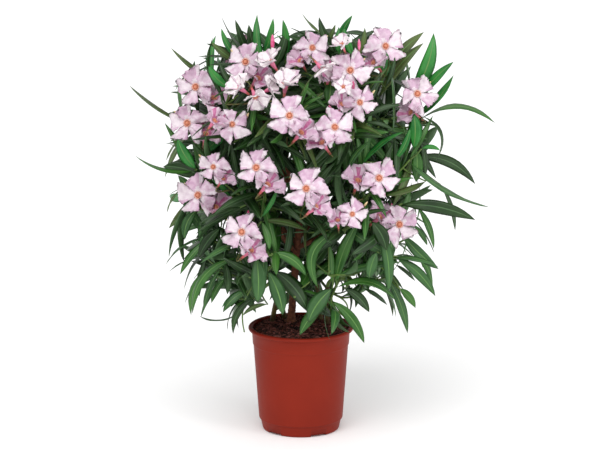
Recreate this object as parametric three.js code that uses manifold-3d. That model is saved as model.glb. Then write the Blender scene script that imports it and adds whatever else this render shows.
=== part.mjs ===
// Potted oleander: a nursery pot filled with bark compost, a short trunk and basal stems,
// tapering boughs, and foliage masses of twigs, lance-shaped leaves and five-petalled blossoms.
// Millimetres, +Z up. The origin is the middle of the pot's flat underside, and -Y is the front.
import * as THREE from "three";
import { mergeVertices } from "three/addons/utils/BufferGeometryUtils.js";
import Module from "manifold-3d";

const wasm = await Module();
wasm.setup();

// Clearances
const gap = 0.3;
const spaceMargin = 0.4;
const limbClearance = 2;
const potClearance = 4;
const sliver = 0.02;

// Pot: outer and inner radii with the heights they belong to
const potSegments = 30;
const potHeight = 191;
const footRadius = 69.5;
const footCorner = 3;
const footTopRadius = 73.3;
const footHeight = 20;
const wallFootRadius = 75.8;
const wallTopRadius = 85.7;
const wallTop = 158;
const bandRadius = 87.1;
const bandTopRadius = 88.4;
const bandTop = 184;
const rimRadius = 95;
const beadHeight = 7;
const beadOverlap = 1;
const beadSteps = 4;
const beadArc = [-0.42 * Math.PI, 1.1 * Math.PI];
const potWall = 2;
const potFloor = 6;
const wallFootThickening = 2;
const floorCorner = 2;
const footNotches = 5;
const notchAngle = 26;
const notchPhase = 28;
const notchHeight = 4;
const notchDepth = 12;
const notchOverrun = 5;

// Soil: a low mound that starts just under the rim, with bark chips on it
const soilEdge = 184;
const soilTop = 189;
const plateauRadius = 74;
const soilClearance = 0.36;
const chipCount = 10;
const chipSize = [11, 6, 3.4];
const chipScale = [0.7, 1.35];
const chipTilt = [-0.3, 0.3];
const chipRise = 0.4;
const chipReach = 0.97;

// Trunk and limbs
const trunkFoot = [-18, 34];
const trunkTip = [2, 0, 436];
const trunkRadius = 7.4;
const trunkTipRadius = 5.6;
const trunkFlare = 6;
const flareHeight = 11;
const trunkSides = 12;
const boughSides = 6;
const boughRadius = 4.6;
const boughTipRadius = 3.7;
const boughShare = 0.5;
const heartPull = new THREE.Vector3(0.78, 0.78, 0.97);
const trunkBends = [{ share: 0.1, height: 216 }, { share: 0.5, height: 318 }];
const boughBow = { out: 0.1, sag: 6 };
const basalBow = { out: -0.04, sag: 0 };
const boughEndRoom = 4;
const massStemGap = 0.42;
const massStemBend = 0.4;
const massStemInset = 0.3;
const ringAxis = new THREE.Vector3(0.31, 0.95, 0.02);

// Leaves
const leafLength = [104, 134];
const leafWidth = 0.2;
const leafThickness = 1 / 62;
const leafMiddle = 0.46;
const whorlStep = 23;
const whorlCount = 4;
const leavesInWhorl = 3;
const farLeafWidth = 24;
const farLeafFace = [0, -0.75, 0.66];
const farLeafStart = 4;
const farLeafStretch = 1.01;
const farWhorls = 2;
const leafSpacing = 7.2;
const crowdedShare = 0.3;
const strangerShare = 0.06;
const leafSamples = 12;
const leafInset = 0.36;
const faceLift = 0.35;
const whorlSpread = [34, 50, 64, 76];
const whorlDrop = 0.1;
const firstWhorl = 3;
const lastWhorlShare = 0.85;
const tipWhorlScale = 0.92;
const leafBend = [0.12, 0.42];

// Low in the crown the leaves hang: they spread more, bend more and drop
const hangFrom = 520;
const hangOver = 320;
const hangSpread = 14;
const hangBend = 0.3;
const hangDrop = 0.42;

// Twigs
const twigRadius = 3.2;
const twigTipRadius = 2.3;
const stemTipRadius = 2.9;
const twigSteps = 2;
const twigSpacing = 5.2;
const twigSampleStep = 5;
const twigSampleShare = 0.86;
const twigRoom = 1;
const twigTests = 14;
const twigFreeTests = 2;
const twigLeads = [0.5, 0.34, 0.18, 0];
const twigFootRange = [0.3, 0.97];

// Blossoms
const blossomRadius = 33;
const petalReach = [1, 0.86, 0.3];
const petalTwist = [0.1, 0.06, 0];
const blossomDepth = 27;
const stalkRadius = 1.9;
const stalkFootRadius = 0.8;
const stalkFeet = [2, 7.5];
const throatDepth = 5;
const petals = 5;
const companionScale = 0.86;
const blossomShift = 34;
const blossomMargin = 1;
const mainFace = { ahead: 0.9, outward: 0.25, rise: 0.28 };
const companionFace = { ahead: 0.55, aside: 0.42, rise: 0.7 };
const companionBehind = 12;
const backCompanion = { right: 20, rise: -31 };

// The open space that leaves keep free before a blossom and round its tube
const faceView = 110;
const faceShare = 0.9;
const faceMargin = 2;
const tubeMargin = 1;

// Crown: a barrel that closes over the top, and the rule that spreads shoots over it
const crownCentre = 470;
const crownHalfHeight = 270;
const crownRadius = 176;
const crownPower = 2.7;
const crownTop = 765;
const crownReach = 246;
const crownFoot = 172;
const lowTaper = { from: 300, over: 110, share: 0.4 };
const highTaper = { from: 600, over: 165, share: 0.42 };
const shootCount = 74;
const shootLow = 232;
const shootHigh = 716;
const shootSpacing = 58;
const shootRoom = 9;
const shootRise = [0.18, 0.86];
const spiralStart = 0.4;
const spiralWobble = [0.9, 1.04];
const goldenAngle = Math.PI * (3 - Math.sqrt(5));

// A spray's twig ends inward, behind and below its front blossom, and the blossom of a spray
// at the back stands beyond, above and outward of its twig's tip
const frontSprayStep = { outward: -18, behind: 26, rise: -34 };
const backSprayStep = { along: 26, rise: 14, outward: 18 };
const floweringShare = 0.5;
const floweringLow = 380;
const floweringBack = 10;

// The leaves leave an opening at the front through which the soil and the trunk's foot show
const opening = { left: -88, right: 28, back: 30, top: 216, rise: 0.25 };

// Foliage masses: the crown is divided into sectors round the trunk, in degrees from +X, and
// each sector into three bands by two planes that fall outwards. Each plane is given by its
// height at the axis and its slope in degrees.
const sectors = [
  { name: "right", first: -75, last: 12, planes: [[408, 12], [594, 14]] },
  { name: "back_right", first: 12, last: 100, planes: [[426, 19], [586, 9]] },
  { name: "back_left", first: 100, last: 192, planes: [[402, 9], [600, 17]] },
  { name: "left", first: 192, last: 285, planes: [[420, 16], [583, 9]] },
];

// A bough leaves the trunk at its height from, or a basal stem leaves the soil at its foot
const bands = [
  { name: "lower", drop: 30, feet: [[47, 14], [36, 46], [-30, 58], [-52, 34]] },
  { name: "middle", drop: 60, from: [332, 350, 340, 322] },
  { name: "upper", drop: 92, from: [404, 416, 410, 396] },
];

// Front blossom sprays: the middle of each open face, and how far right of it and above it the
// spray's second blossom stands, which is seen from the side
const frontBlossoms = [
  { open: [-99, -98, 702], right: 20, rise: -31 },
  { open: [-191, -44, 632], right: 31, rise: -22 },
  { open: [-203, -52, 570], right: 29, rise: -20 },
  { open: [-124, -145, 601], right: -27, rise: 4 },
  { open: [-21, -182, 626], right: 20, rise: -34 },
  { open: [20, -96, 726], right: -22, rise: -27 },
  { open: [88, -118, 692], right: -29, rise: -8 },
  { open: [153, -40, 706], right: -20, rise: -34 },
  { open: [209, -36, 624], right: -9, rise: -38 },
  { open: [106, -148, 640], right: -32, rise: -5 },
  { open: [61, -180, 603], right: -22, rise: -32 },
  { open: [-158, -122, 517], right: 16, rise: -23 },
  { open: [-187, -78, 450], right: 31, rise: -25 },
  { open: [-81, -182, 530], right: 18, rise: -32 },
  { open: [8, -198, 495], right: 16, rise: -36 },
  { open: [-108, -163, 407], right: 16, rise: -38 },
  { open: [139, -144, 502], right: -38, rise: -7 },
  { open: [91, -177, 444], right: -28, rise: -15 },
  { open: [176, -96, 402], right: -34, rise: 11 },
];

// Leaves that reach furthest: where each springs, where its tip is, and how far it arches
const farLeaves = [
  { root: [-214, -70, 576], tip: [-304, -86, 648], arch: 8 },
  { root: [-190, -60, 496], tip: [-294, -92, 528], arch: 10 },
  { root: [-172, -54, 662], tip: [-230, -68, 718], arch: 5 },
  { root: [212, -20, 578], tip: [346, -30, 572], arch: 26 },
  { root: [205, 24, 500], tip: [314, 30, 446], arch: 12 },
  { root: [194, -56, 512], tip: [336, -70, 428], arch: 24 },
  { root: [178, -78, 436], tip: [310, -92, 410], arch: 9 },
  { root: [172, -70, 338], tip: [240, -84, 268], arch: 8 },
  { root: [196, 4, 356], tip: [238, 8, 262], arch: 7 },
  { root: [158, -30, 290], tip: [192, -34, 186], arch: 6 },
  { root: [-150, -60, 318], tip: [-196, -84, 232], arch: 6 },
  { root: [-166, -44, 366], tip: [-216, -54, 300], arch: 6 },
  { root: [204, -20, 650], tip: [272, -30, 680], arch: 5 },
  { root: [156, -12, 672], tip: [218, -22, 736], arch: 4 },
  { root: [-84, -40, 684], tip: [-116, -50, 764], arch: 3 },
  { root: [60, 30, 694], tip: [92, 26, 757], arch: 3 },
  { root: [-28, -42, 690], tip: [-32, -48, 764], arch: 3 },
];

// Colours
const materials = {
  pot: new THREE.MeshStandardMaterial({ color: 0x96321f, roughness: 0.5, metalness: 0 }),
  soil: new THREE.MeshStandardMaterial({ color: 0x34221b, roughness: 0.95, metalness: 0 }),
  bark: new THREE.MeshStandardMaterial({ color: 0x5d3524, roughness: 0.85, metalness: 0 }),
  shoot: new THREE.MeshStandardMaterial({ color: 0x6f8a33, roughness: 0.6, metalness: 0 }),
  leaf: new THREE.MeshStandardMaterial({ color: 0x35672f, roughness: 0.5, metalness: 0 }),
};

const up = new THREE.Vector3(0, 0, 1);
const vector = (list) => new THREE.Vector3(list[0], list[1], list[2]);
const mix = (a, b, t) => a + (b - a) * t;
const radians = THREE.MathUtils.degToRad;

// A repeatable number from 0 to 1 for any list of whole numbers
function chance(...keys) {
  let hash = 2166136261;
  for (const key of keys) {
    hash = Math.imul(hash ^ (key + 101), 16777619) >>> 0;
    hash = Math.imul(hash ^ (hash >>> 15), 2246822519) >>> 0;
    hash = (hash ^ (hash >>> 13)) >>> 0;
  }
  return hash / 4294967296;
}

const between = (range, ...keys) => mix(range[0], range[1], chance(...keys));

// Solids from three.js geometry and back
function toSolid(geometry) {
  const bare = geometry.clone();
  bare.deleteAttribute("normal");
  bare.deleteAttribute("uv");
  const merged = mergeVertices(bare, 1e-4);
  const corners = merged.index.array;
  const triangles = [];
  for (let i = 0; i < corners.length; i += 3) {
    const [a, b, c] = [corners[i], corners[i + 1], corners[i + 2]];
    if (a !== b && b !== c && c !== a) triangles.push(a, b, c);
  }
  return new wasm.Manifold(new wasm.Mesh({
    numProp: 3,
    vertProperties: new Float32Array(merged.attributes.position.array),
    triVerts: new Uint32Array(triangles),
  }));
}

function joined(solids) {
  let round = solids;
  while (round.length > 1) {
    const next = [];
    for (let i = 0; i < round.length; i += 2) {
      next.push(i + 1 < round.length ? round[i].add(round[i + 1]) : round[i]);
    }
    round = next;
  }
  return round[0];
}

// Slivers that the joins leave are collapsed, and only the largest body is kept: loose scraps
// go, and sealed hollows are filled
function largestBody(solid) {
  return solid.simplify(sliver).decompose().reduce((a, b) => (a.volume() > b.volume() ? a : b));
}

function toMesh(name, solid, material) {
  const mesh = solid.getMesh();
  const geometry = new THREE.BufferGeometry();
  const places = new Float32Array(mesh.numVert * 3);
  for (let i = 0; i < mesh.numVert; i += 1) {
    for (let k = 0; k < 3; k += 1) places[3 * i + k] = mesh.vertProperties[i * mesh.numProp + k];
  }
  geometry.setAttribute("position", new THREE.BufferAttribute(places, 3));
  geometry.setIndex(new THREE.BufferAttribute(new Uint32Array(mesh.triVerts), 1));
  const result = new THREE.Mesh(geometry, material);
  result.name = name;
  return result;
}

// A ring-shaped sector, used to cut the notches between the feet of the pot
function footNotch(middle) {
  const half = radians(notchAngle) / 2;
  const shape = new THREE.Shape();
  shape.absarc(0, 0, footRadius + notchOverrun, middle - half, middle + half, false);
  shape.absarc(0, 0, footRadius - notchDepth, middle + half, middle - half, true);
  const options = { depth: notchHeight + notchOverrun, bevelEnabled: false, curveSegments: 4 };
  return new THREE.ExtrudeGeometry(shape, options).translate(0, 0, -notchOverrun);
}

function lathe(profile) {
  const points = profile.map(([r, z]) => new THREE.Vector2(r, z));
  return toSolid(new THREE.LatheGeometry(points, potSegments).rotateX(Math.PI / 2));
}

// The radius of the pot's inner wall at a height
function innerRadius(z) {
  if (z > wallTop) return mix(wallTopRadius, bandTopRadius, (z - wallTop) / (bandTop - wallTop)) - potWall;
  const t = Math.max(0, (z - footHeight) / (wallTop - footHeight));
  return mix(wallFootRadius, wallTopRadius, t) - potWall - wallFootThickening * (1 - t);
}

function beadPoints() {
  const points = [];
  const middle = potHeight - beadHeight / 2;
  const half = (rimRadius - bandTopRadius) / 2 + beadOverlap;
  for (let i = 0; i <= beadSteps; i += 1) {
    const angle = mix(beadArc[0], beadArc[1], i / beadSteps);
    points.push([rimRadius - half + half * Math.cos(angle), middle + (beadHeight / 2) * Math.sin(angle)]);
  }
  return points;
}

function pot() {
  const profile = [
    [0, 0],
    [footRadius - footCorner, 0],
    [footRadius, footCorner],
    [footTopRadius, footHeight],
    [wallFootRadius, footHeight + 1],
    [wallTopRadius, wallTop],
    [bandRadius, wallTop + 2],
    [bandTopRadius, bandTop - 1],
    ...beadPoints(),
    [innerRadius(bandTop), bandTop],
    [innerRadius(wallTop), wallTop],
    [innerRadius(footHeight), footHeight],
    [innerRadius(footHeight) - floorCorner, potFloor],
    [0, potFloor],
  ];
  let solid = lathe(profile);
  for (let i = 0; i < footNotches; i += 1) {
    const middle = radians(notchPhase - 90 + (360 / footNotches) * i);
    solid = solid.subtract(toSolid(footNotch(middle)));
  }
  return toMesh("pot", largestBody(solid), materials.pot);
}

// Where every stem leaves the soil, with the room that it needs there
function feet() {
  const list = [{ x: trunkFoot[0], y: trunkFoot[1], room: trunkRadius + trunkFlare }];
  for (const mass of masses) {
    if (mass.foot) list.push({ x: mass.foot[0], y: mass.foot[1], room: boughRadius + limbClearance });
  }
  return list;
}

function barkChips() {
  const chips = [];
  for (let i = 0; i < chipCount; i += 1) {
    const angle = i * goldenAngle;
    const radius = plateauRadius * Math.sqrt((i + 0.5) / chipCount) * chipReach;
    const [x, y] = [radius * Math.cos(angle), radius * Math.sin(angle)];
    if (feet().some((foot) => Math.hypot(foot.x - x, foot.y - y) < foot.room + chipSize[0])) continue;
    const size = chipSize.map((edge, k) => edge * between(chipScale, 11, i, k));
    const chip = new THREE.BoxGeometry(size[0], size[1], size[2]);
    chip.rotateX(between(chipTilt, 12, i)).rotateY(between(chipTilt, 13, i));
    chip.rotateZ(between([0, Math.PI], 14, i)).translate(x, y, soilTop + chipRise);
    chips.push(toSolid(chip));
  }
  return chips;
}

function soil() {
  const solid = lathe([
    [0, potFloor + soilClearance],
    [innerRadius(footHeight) - floorCorner - soilClearance, potFloor + soilClearance],
    [innerRadius(footHeight) - soilClearance, footHeight],
    [innerRadius(wallTop) - soilClearance, wallTop],
    [innerRadius(soilEdge) - soilClearance, soilEdge],
    [plateauRadius, soilTop],
    [0, soilTop],
  ]);
  return toMesh("soil", largestBody(joined([solid, ...barkChips()])), materials.soil);
}

// A tapering tube along a list of points: a cylinder whose rings are moved onto the curve.
// Its first ring lies square to startAxis where that is given, as for the level cut at the soil.
function limbSolid(points, radiusAt, sides, steps, startAxis = null) {
  const curve = new THREE.CatmullRomCurve3(points);
  const geometry = new THREE.CylinderGeometry(1, 1, 1, sides, steps);
  const places = geometry.attributes.position;
  for (let i = 0; i < places.count; i += 1) {
    const t = places.getY(i) + 0.5;
    const tangent = startAxis && t === 0 ? startAxis.clone() : curve.getTangent(t);
    const side = ringAxis.clone().cross(tangent).normalize();
    const other = tangent.clone().cross(side);
    const radius = radiusAt(t);
    const place = curve.getPoint(t);
    place.addScaledVector(side, places.getZ(i) * radius);
    place.addScaledVector(other, places.getX(i) * radius);
    places.setXYZ(i, place.x, place.y, place.z);
  }
  return toSolid(geometry);
}

// The plane between two bands of a sector, facing upwards
function bandPlane(sector, [height, slope]) {
  const middle = radians((sector.first + sector.last) / 2);
  const fall = Math.sin(radians(slope));
  const rise = Math.cos(radians(slope));
  const normal = new THREE.Vector3(fall * Math.cos(middle), fall * Math.sin(middle), rise);
  return new THREE.Plane(normal, -height * rise);
}

// The space of a mass lies inside the two planes of its sector and those of its band
function spacePlanes(level, sector) {
  const [first, last] = [radians(sector.first), radians(sector.last)];
  const planes = [
    new THREE.Plane(new THREE.Vector3(-Math.sin(first), Math.cos(first), 0), 0),
    new THREE.Plane(new THREE.Vector3(Math.sin(last), -Math.cos(last), 0), 0),
  ];
  if (level > 0) planes.push(bandPlane(sector, sector.planes[level - 1]));
  if (level < 2) planes.push(bandPlane(sector, sector.planes[level]).negate());
  return planes;
}

const masses = bands.flatMap((band, level) => sectors.map((sector, i) => ({
  name: `foliage_${band.name}_${sector.name}`,
  limbName: `${band.feet ? "stem" : "bough"}_${band.name}_${sector.name}`,
  planes: spacePlanes(level, sector),
  drop: band.drop,
  from: band.from && band.from[i],
  foot: band.feet && band.feet[i],
})));

function roomInSpace(point, mass) {
  return Math.min(...mass.planes.map((plane) => plane.distanceToPoint(point)));
}

// A point moved straight in from every plane that it is nearer to than it should be
function keptInside(point, mass, room) {
  const moved = point.clone();
  for (const plane of mass.planes) {
    const short = room - plane.distanceToPoint(moved);
    if (short > 0) moved.addScaledVector(plane.normal, short);
  }
  return moved;
}

const massAt = (point) => masses.find((mass) => roomInSpace(point, mass) >= 0);

// Leaves stay inside the outline of the whole crown
function insideCrown(point) {
  const radius = Math.hypot(point.x, point.y);
  const low = Math.max(0, (lowTaper.from - point.z) / lowTaper.over);
  const high = Math.max(0, (point.z - highTaper.from) / highTaper.over);
  const reach = crownReach * (1 - lowTaper.share * low * low) * (1 - highTaper.share * high * high);
  return radius < reach && point.z < crownTop && point.z > crownFoot;
}

// A leaf: its root, the middle where it is widest and bends, its tip and its width axis
function leafShape(root, direction, faceUp, length, bend) {
  const axis = direction.clone().normalize();
  const across = faceUp.clone().cross(axis).normalize();
  const normal = axis.clone().cross(across);
  const middle = root.clone().addScaledVector(axis, length * leafMiddle);
  const turned = axis.clone().multiplyScalar(Math.cos(bend)).addScaledVector(normal, -Math.sin(bend));
  const tip = middle.clone().addScaledVector(turned, length * (1 - leafMiddle));
  return { root, middle, tip, across, normal, length, width: length * leafWidth };
}

function leafPoints(leaf) {
  const points = [];
  for (let i = 1; i <= leafSamples; i += 1) {
    const s = i / leafSamples;
    const place = s < leafMiddle
      ? leaf.root.clone().lerp(leaf.middle, s / leafMiddle)
      : leaf.middle.clone().lerp(leaf.tip, (s - leafMiddle) / (1 - leafMiddle));
    const half = (leaf.width / 2) * (s < leafMiddle ? s / leafMiddle : (1 - s) / (1 - leafMiddle));
    for (const side of [-1, 0, 1]) points.push(place.clone().addScaledVector(leaf.across, side * half));
  }
  return points;
}

// A leaf of six faces, flat below and ridged above: an octahedron whose corners are moved to the
// root, the tip, the two edges, the ridge, and the middle of the flat side, which then melts away
function leafSolid(leaf) {
  const thick = leaf.length * leafThickness;
  const corners = [
    leaf.tip,
    leaf.root,
    leaf.middle.clone().addScaledVector(leaf.across, leaf.width / 2),
    leaf.middle.clone().addScaledVector(leaf.across, -leaf.width / 2),
    leaf.middle.clone().addScaledVector(leaf.normal, thick),
    leaf.middle,
  ];
  const geometry = new THREE.OctahedronGeometry(1);
  const places = geometry.attributes.position;
  for (let i = 0; i < places.count; i += 1) {
    const values = [places.getX(i), places.getY(i), places.getZ(i)];
    const axis = values.findIndex((value) => Math.abs(value) > 0.5);
    const corner = corners[axis * 2 + (values[axis] > 0 ? 0 : 1)];
    places.setXYZ(i, corner.x, corner.y, corner.z);
  }
  return toSolid(geometry).simplify(sliver);
}

// A blossom with its stalk: a cylinder whose top ring becomes the pinwheel of five petals, whose
// second ring narrows to the end of the tube, and whose last ring sits in the tip of the twig
function blossomSolid(blossom, foot) {
  const sides = petals * 3;
  const geometry = new THREE.CylinderGeometry(1, 1, 2, sides, 2);
  const side = up.clone().cross(blossom.face).normalize();
  const other = blossom.face.clone().cross(side);
  const tubeEnd = blossom.centre.clone().addScaledVector(blossom.face, -blossomDepth * blossom.scale);
  const places = geometry.attributes.position;
  for (let i = 0; i < places.count; i += 1) {
    const [x, ring, z] = [places.getX(i), Math.round(places.getY(i)), places.getZ(i)];
    const turn = Math.atan2(x, z) + 2 * Math.PI;
    const step = Math.round((turn / (2 * Math.PI)) * sides) % sides;
    const place = [foot, tubeEnd, blossom.centre][ring + 1].clone();
    if (Math.hypot(x, z) < 0.5) {
      place.addScaledVector(blossom.face, ring > 0 ? -throatDepth : 0);
    } else {
      const corner = step % 3;
      const petalAngle = (step / sides) * 2 * Math.PI + petalTwist[corner];
      const stalkAngle = (Math.floor(step / petals) / 3) * 2 * Math.PI;
      const reach = [stalkFootRadius, stalkRadius, blossom.radius * petalReach[corner]][ring + 1];
      const angle = (ring > 0 ? petalAngle : stalkAngle) + blossom.spin;
      place.addScaledVector(side, reach * Math.cos(angle)).addScaledVector(other, reach * Math.sin(angle));
    }
    places.setXYZ(i, place.x, place.y, place.z);
  }
  return toSolid(geometry);
}

// A blossom's place, open face and size; it moves a little to keep inside its mass's space
function blossomAt(centre, face, radius, spin, mass) {
  const place = keptInside(centre, mass, radius + blossomMargin);
  if (place.distanceTo(centre) > blossomShift) return null;
  return { centre: place, face, radius, spin, scale: radius / blossomRadius };
}

function shootAxis(tip) {
  const share = THREE.MathUtils.clamp((tip.z - shootLow) / (shootHigh - shootLow), 0, 1);
  const rise = (mix(shootRise[0], shootRise[1], share) * Math.PI) / 2;
  const outward = new THREE.Vector3(tip.x, tip.y, 0).normalize();
  return outward.multiplyScalar(Math.cos(rise)).addScaledVector(up, Math.sin(rise));
}

// The blossom pair of a spray: one open towards the outside, one beside or below it that is seen
// from the side and stands the given distances right of it and above it
function blossomPair(centre, mass, key, ahead, companion) {
  const outward = new THREE.Vector3(centre.x, centre.y, 0).normalize();
  const face = ahead.clone().multiplyScalar(mainFace.ahead).addScaledVector(outward, mainFace.outward);
  face.addScaledVector(up, mainFace.rise).normalize();
  const right = up.clone().cross(ahead).normalize();
  const beside = centre.clone().addScaledVector(right, companion.right);
  beside.addScaledVector(ahead, -companionBehind).addScaledVector(up, companion.rise);
  const turned = ahead.clone().multiplyScalar(companionFace.ahead).addScaledVector(up, companionFace.rise);
  turned.addScaledVector(right, companionFace.aside * Math.sign(companion.right)).normalize();
  const pair = [
    blossomAt(centre, face, blossomRadius, key, mass),
    blossomAt(beside, turned, blossomRadius * companionScale, key, mass),
  ];
  return pair.filter(Boolean);
}

function farShoot(far, index) {
  const tip = vector(far.root);
  return { tip, axis: shootAxis(tip), mass: massAt(tip), blossoms: [], far, key: 40 + index };
}

function frontSpray(spray, index) {
  const centre = vector(spray.open);
  const mass = massAt(centre);
  const blossoms = blossomPair(centre, mass, index, new THREE.Vector3(0, -1, 0), spray);
  const front = blossoms.length > 0 ? blossoms[0].centre.clone() : centre;
  const inward = new THREE.Vector3(front.x, front.y, 0).normalize();
  front.addScaledVector(inward, frontSprayStep.outward).addScaledVector(up, frontSprayStep.rise);
  front.y += frontSprayStep.behind;
  const tip = keptInside(front, mass, shootRoom);
  return { tip, axis: shootAxis(tip), mass, blossoms, key: index };
}

function spiralShoot(i) {
  const z = mix(shootLow, shootHigh, (i + 0.5) / shootCount);
  const angle = i * goldenAngle + spiralStart;
  const bulge = 1 - Math.abs((z - crownCentre) / crownHalfHeight) ** crownPower;
  const radius = crownRadius * bulge ** (1 / crownPower) * between(spiralWobble, 31, i);
  const place = new THREE.Vector3(radius * Math.cos(angle), radius * Math.sin(angle), z);
  const mass = massAt(place);
  const tip = keptInside(place, mass, shootRoom);
  const axis = shootAxis(tip);
  const flowering = tip.y > floweringBack && z > floweringLow && chance(32, i) < floweringShare;
  const outward = new THREE.Vector3(tip.x, tip.y, 0).normalize();
  const centre = tip.clone().addScaledVector(outward, backSprayStep.outward);
  centre.addScaledVector(axis, backSprayStep.along).addScaledVector(up, backSprayStep.rise);
  const side = chance(21, 60 + i) < 0.5 ? -1 : 1;
  const companion = { right: side * backCompanion.right, rise: backCompanion.rise };
  const blossoms = flowering ? blossomPair(centre, mass, 60 + i, outward, companion) : [];
  return { tip, axis, mass, blossoms, key: 60 + i };
}

// All shoots: the furthest leaves, the front sprays, then a spiral over the crown for the rest.
// Each has a key of its own for its chances.
function allShoots() {
  const list = [...farLeaves.map(farShoot), ...frontBlossoms.map(frontSpray)];
  for (let i = 0; i < shootCount; i += 1) {
    const shoot = spiralShoot(i);
    if (list.every((other) => other.tip.distanceTo(shoot.tip) >= shootSpacing)) list.push(shoot);
  }
  return list;
}

const shoots = allShoots();

// The trunk and the boughs, each as the points it runs through and its radii
const trunk = {
  name: "trunk",
  points: [
    new THREE.Vector3(trunkFoot[0], trunkFoot[1], soilTop + gap),
    ...trunkBends.map(({ share, height }) => new THREE.Vector3(
      mix(trunkFoot[0], trunkTip[0], share),
      mix(trunkFoot[1], trunkTip[1], share),
      height,
    )),
    vector(trunkTip),
  ],
  radii: [trunkRadius, trunkTipRadius],
};

function trunkPlace(height) {
  const curve = new THREE.CatmullRomCurve3(trunk.points);
  let [low, high] = [0, 1];
  for (let i = 0; i < 30; i += 1) {
    const middle = (low + high) / 2;
    if (curve.getPoint(middle).z < height) low = middle;
    else high = middle;
  }
  return curve.getPoint(low);
}

// The middle of a mass's shoots, drawn in towards the trunk: there its stem ends
function heartOf(mass) {
  const mine = shoots.filter((shoot) => shoot.mass === mass);
  const heart = new THREE.Vector3();
  for (const shoot of mine) heart.add(shoot.tip);
  return heart.divideScalar(mine.length).multiply(heartPull);
}

// Where a bough ends: on the way to the heart of its mass, and well inside the mass's space
function boughTip(mass) {
  const heart = heartOf(mass);
  const tip = new THREE.Vector3(heart.x * boughShare, heart.y * boughShare, heart.z - mass.drop);
  return keptInside(tip, mass, boughRadius + boughEndRoom);
}

function boughFor(mass) {
  const tip = boughTip(mass);
  const start = mass.foot
    ? new THREE.Vector3(mass.foot[0], mass.foot[1], soilTop + gap)
    : trunkPlace(mass.from);
  const bow = mass.foot ? basalBow : boughBow;
  const sideways = tip.clone().sub(start).setZ(0).multiplyScalar(bow.out);
  const middle = start.clone().lerp(tip, 0.5).add(sideways).addScaledVector(up, -bow.sag);
  return {
    name: mass.limbName,
    points: [start, middle, tip],
    radii: [boughRadius, boughTipRadius],
    mass,
  };
}

const boughs = masses.map(boughFor);
const limbs = [trunk, ...boughs];

function trunkRadiusAt(t, extra) {
  const above = t * (trunkTip[2] - soilTop);
  return mix(trunk.radii[0], trunk.radii[1], t) + trunkFlare * Math.exp(-above / flareHeight) + extra;
}

function trunkSolid(extra = 0) {
  return limbSolid(trunk.points, (t) => trunkRadiusAt(t, extra), trunkSides, 9, up);
}

function boughSolid(bough, extra = 0) {
  const radiusAt = (t) => mix(bough.radii[0], bough.radii[1], t) + extra;
  return limbSolid(bough.points, radiusAt, boughSides, 3, bough.mass.foot ? up : null);
}

// Every bough is cut clear of the trunk and of the boughs made before it
function limbMeshes() {
  const meshes = [toMesh("trunk", trunkSolid(), materials.bark)];
  let taken = trunkSolid(gap);
  for (const bough of boughs) {
    const solid = largestBody(boughSolid(bough).subtract(taken));
    meshes.push(toMesh(bough.name, solid, bough.mass.foot ? materials.shoot : materials.bark));
    taken = taken.add(boughSolid(bough, gap));
  }
  return meshes;
}

// Short straight pieces of every limb, for the test that keeps foliage off them
const limbPieces = limbs.flatMap((limb, index) => {
  const places = new THREE.CatmullRomCurve3(limb.points).getPoints(10);
  return places.slice(1).map((end, i) => ({
    line: new THREE.Line3(places[i], end),
    radius: limb.radii[0] + (index === 0 && i === 0 ? trunkFlare : 0),
  }));
});

function touchesLimb(point, spare = limbClearance) {
  const closest = new THREE.Vector3();
  return limbPieces.some((piece) => {
    piece.line.closestPointToPoint(point, true, closest);
    return closest.distanceTo(point) < piece.radius + spare;
  });
}

function touchesPot(point) {
  const radius = Math.hypot(point.x, point.y);
  return point.z < potHeight + potClearance && radius < rimRadius + potClearance;
}

function closesOpening(point) {
  if (point.x < opening.left || point.x > opening.right || point.y > opening.back) return false;
  return point.z < opening.top - point.y * opening.rise;
}

// Leaves keep out of the open faces of the blossoms
const openFaces = shoots.flatMap((shoot) => shoot.blossoms);

function hidesBlossom(point) {
  return openFaces.some((blossom) => {
    const offset = point.clone().sub(blossom.centre);
    const ahead = offset.dot(blossom.face);
    if (ahead < -blossomDepth || ahead > faceView) return false;
    const across = offset.addScaledVector(blossom.face, -ahead).length();
    const cone = 1 + Math.min(0, ahead) / blossomDepth;
    return across < (blossom.radius * faceShare + faceMargin) * cone + tubeMargin;
  });
}

// Leaves of one mass don't run through each other, except where they crowd round a twig
function crowded(points, shoot, placed) {
  return placed.some((other) => {
    const share = other.shoot === shoot ? crowdedShare : strangerShare;
    const first = Math.ceil(share * points.length);
    const otherFirst = other.twig ? 0 : Math.ceil(share * other.points.length);
    const spacing = other.twig ? twigSpacing : leafSpacing;
    for (let i = first; i < points.length; i += 1) {
      for (let k = otherFirst; k < other.points.length; k += 1) {
        if (points[i].distanceToSquared(other.points[k]) < spacing * spacing) return true;
      }
    }
    return false;
  });
}

function leafFits(leaf, shoot, placed) {
  const corners = [
    leaf.tip,
    leaf.root,
    leaf.middle.clone().addScaledVector(leaf.across, leaf.width / 2),
    leaf.middle.clone().addScaledVector(leaf.across, -leaf.width / 2),
    leaf.middle,
  ];
  const needed = spaceMargin + leaf.length * leafThickness;
  if (corners.some((corner) => roomInSpace(corner, shoot.mass) < needed)) return false;
  if (!leaf.far && corners.some((corner) => !insideCrown(corner))) return false;
  const points = leafPoints(leaf);
  if (points.some((point) => touchesLimb(point) || touchesPot(point) || closesOpening(point))) return false;
  if (!leaf.far && points.some((point) => hidesBlossom(point))) return false;
  if (crowded(points, shoot, placed)) return false;
  placed.push({ shoot, points });
  return true;
}

// The ways in which a leaf is tried: turned round its twig, held closer to it, or shorter
const attempts = [];
for (const shrink of [1, 0.84]) {
  for (const closer of [1, 0.68, 0.4]) {
    for (const swing of [0, 0.35, -0.35, 0.75, -0.75]) attempts.push({ swing, closer, shrink });
  }
}

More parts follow.
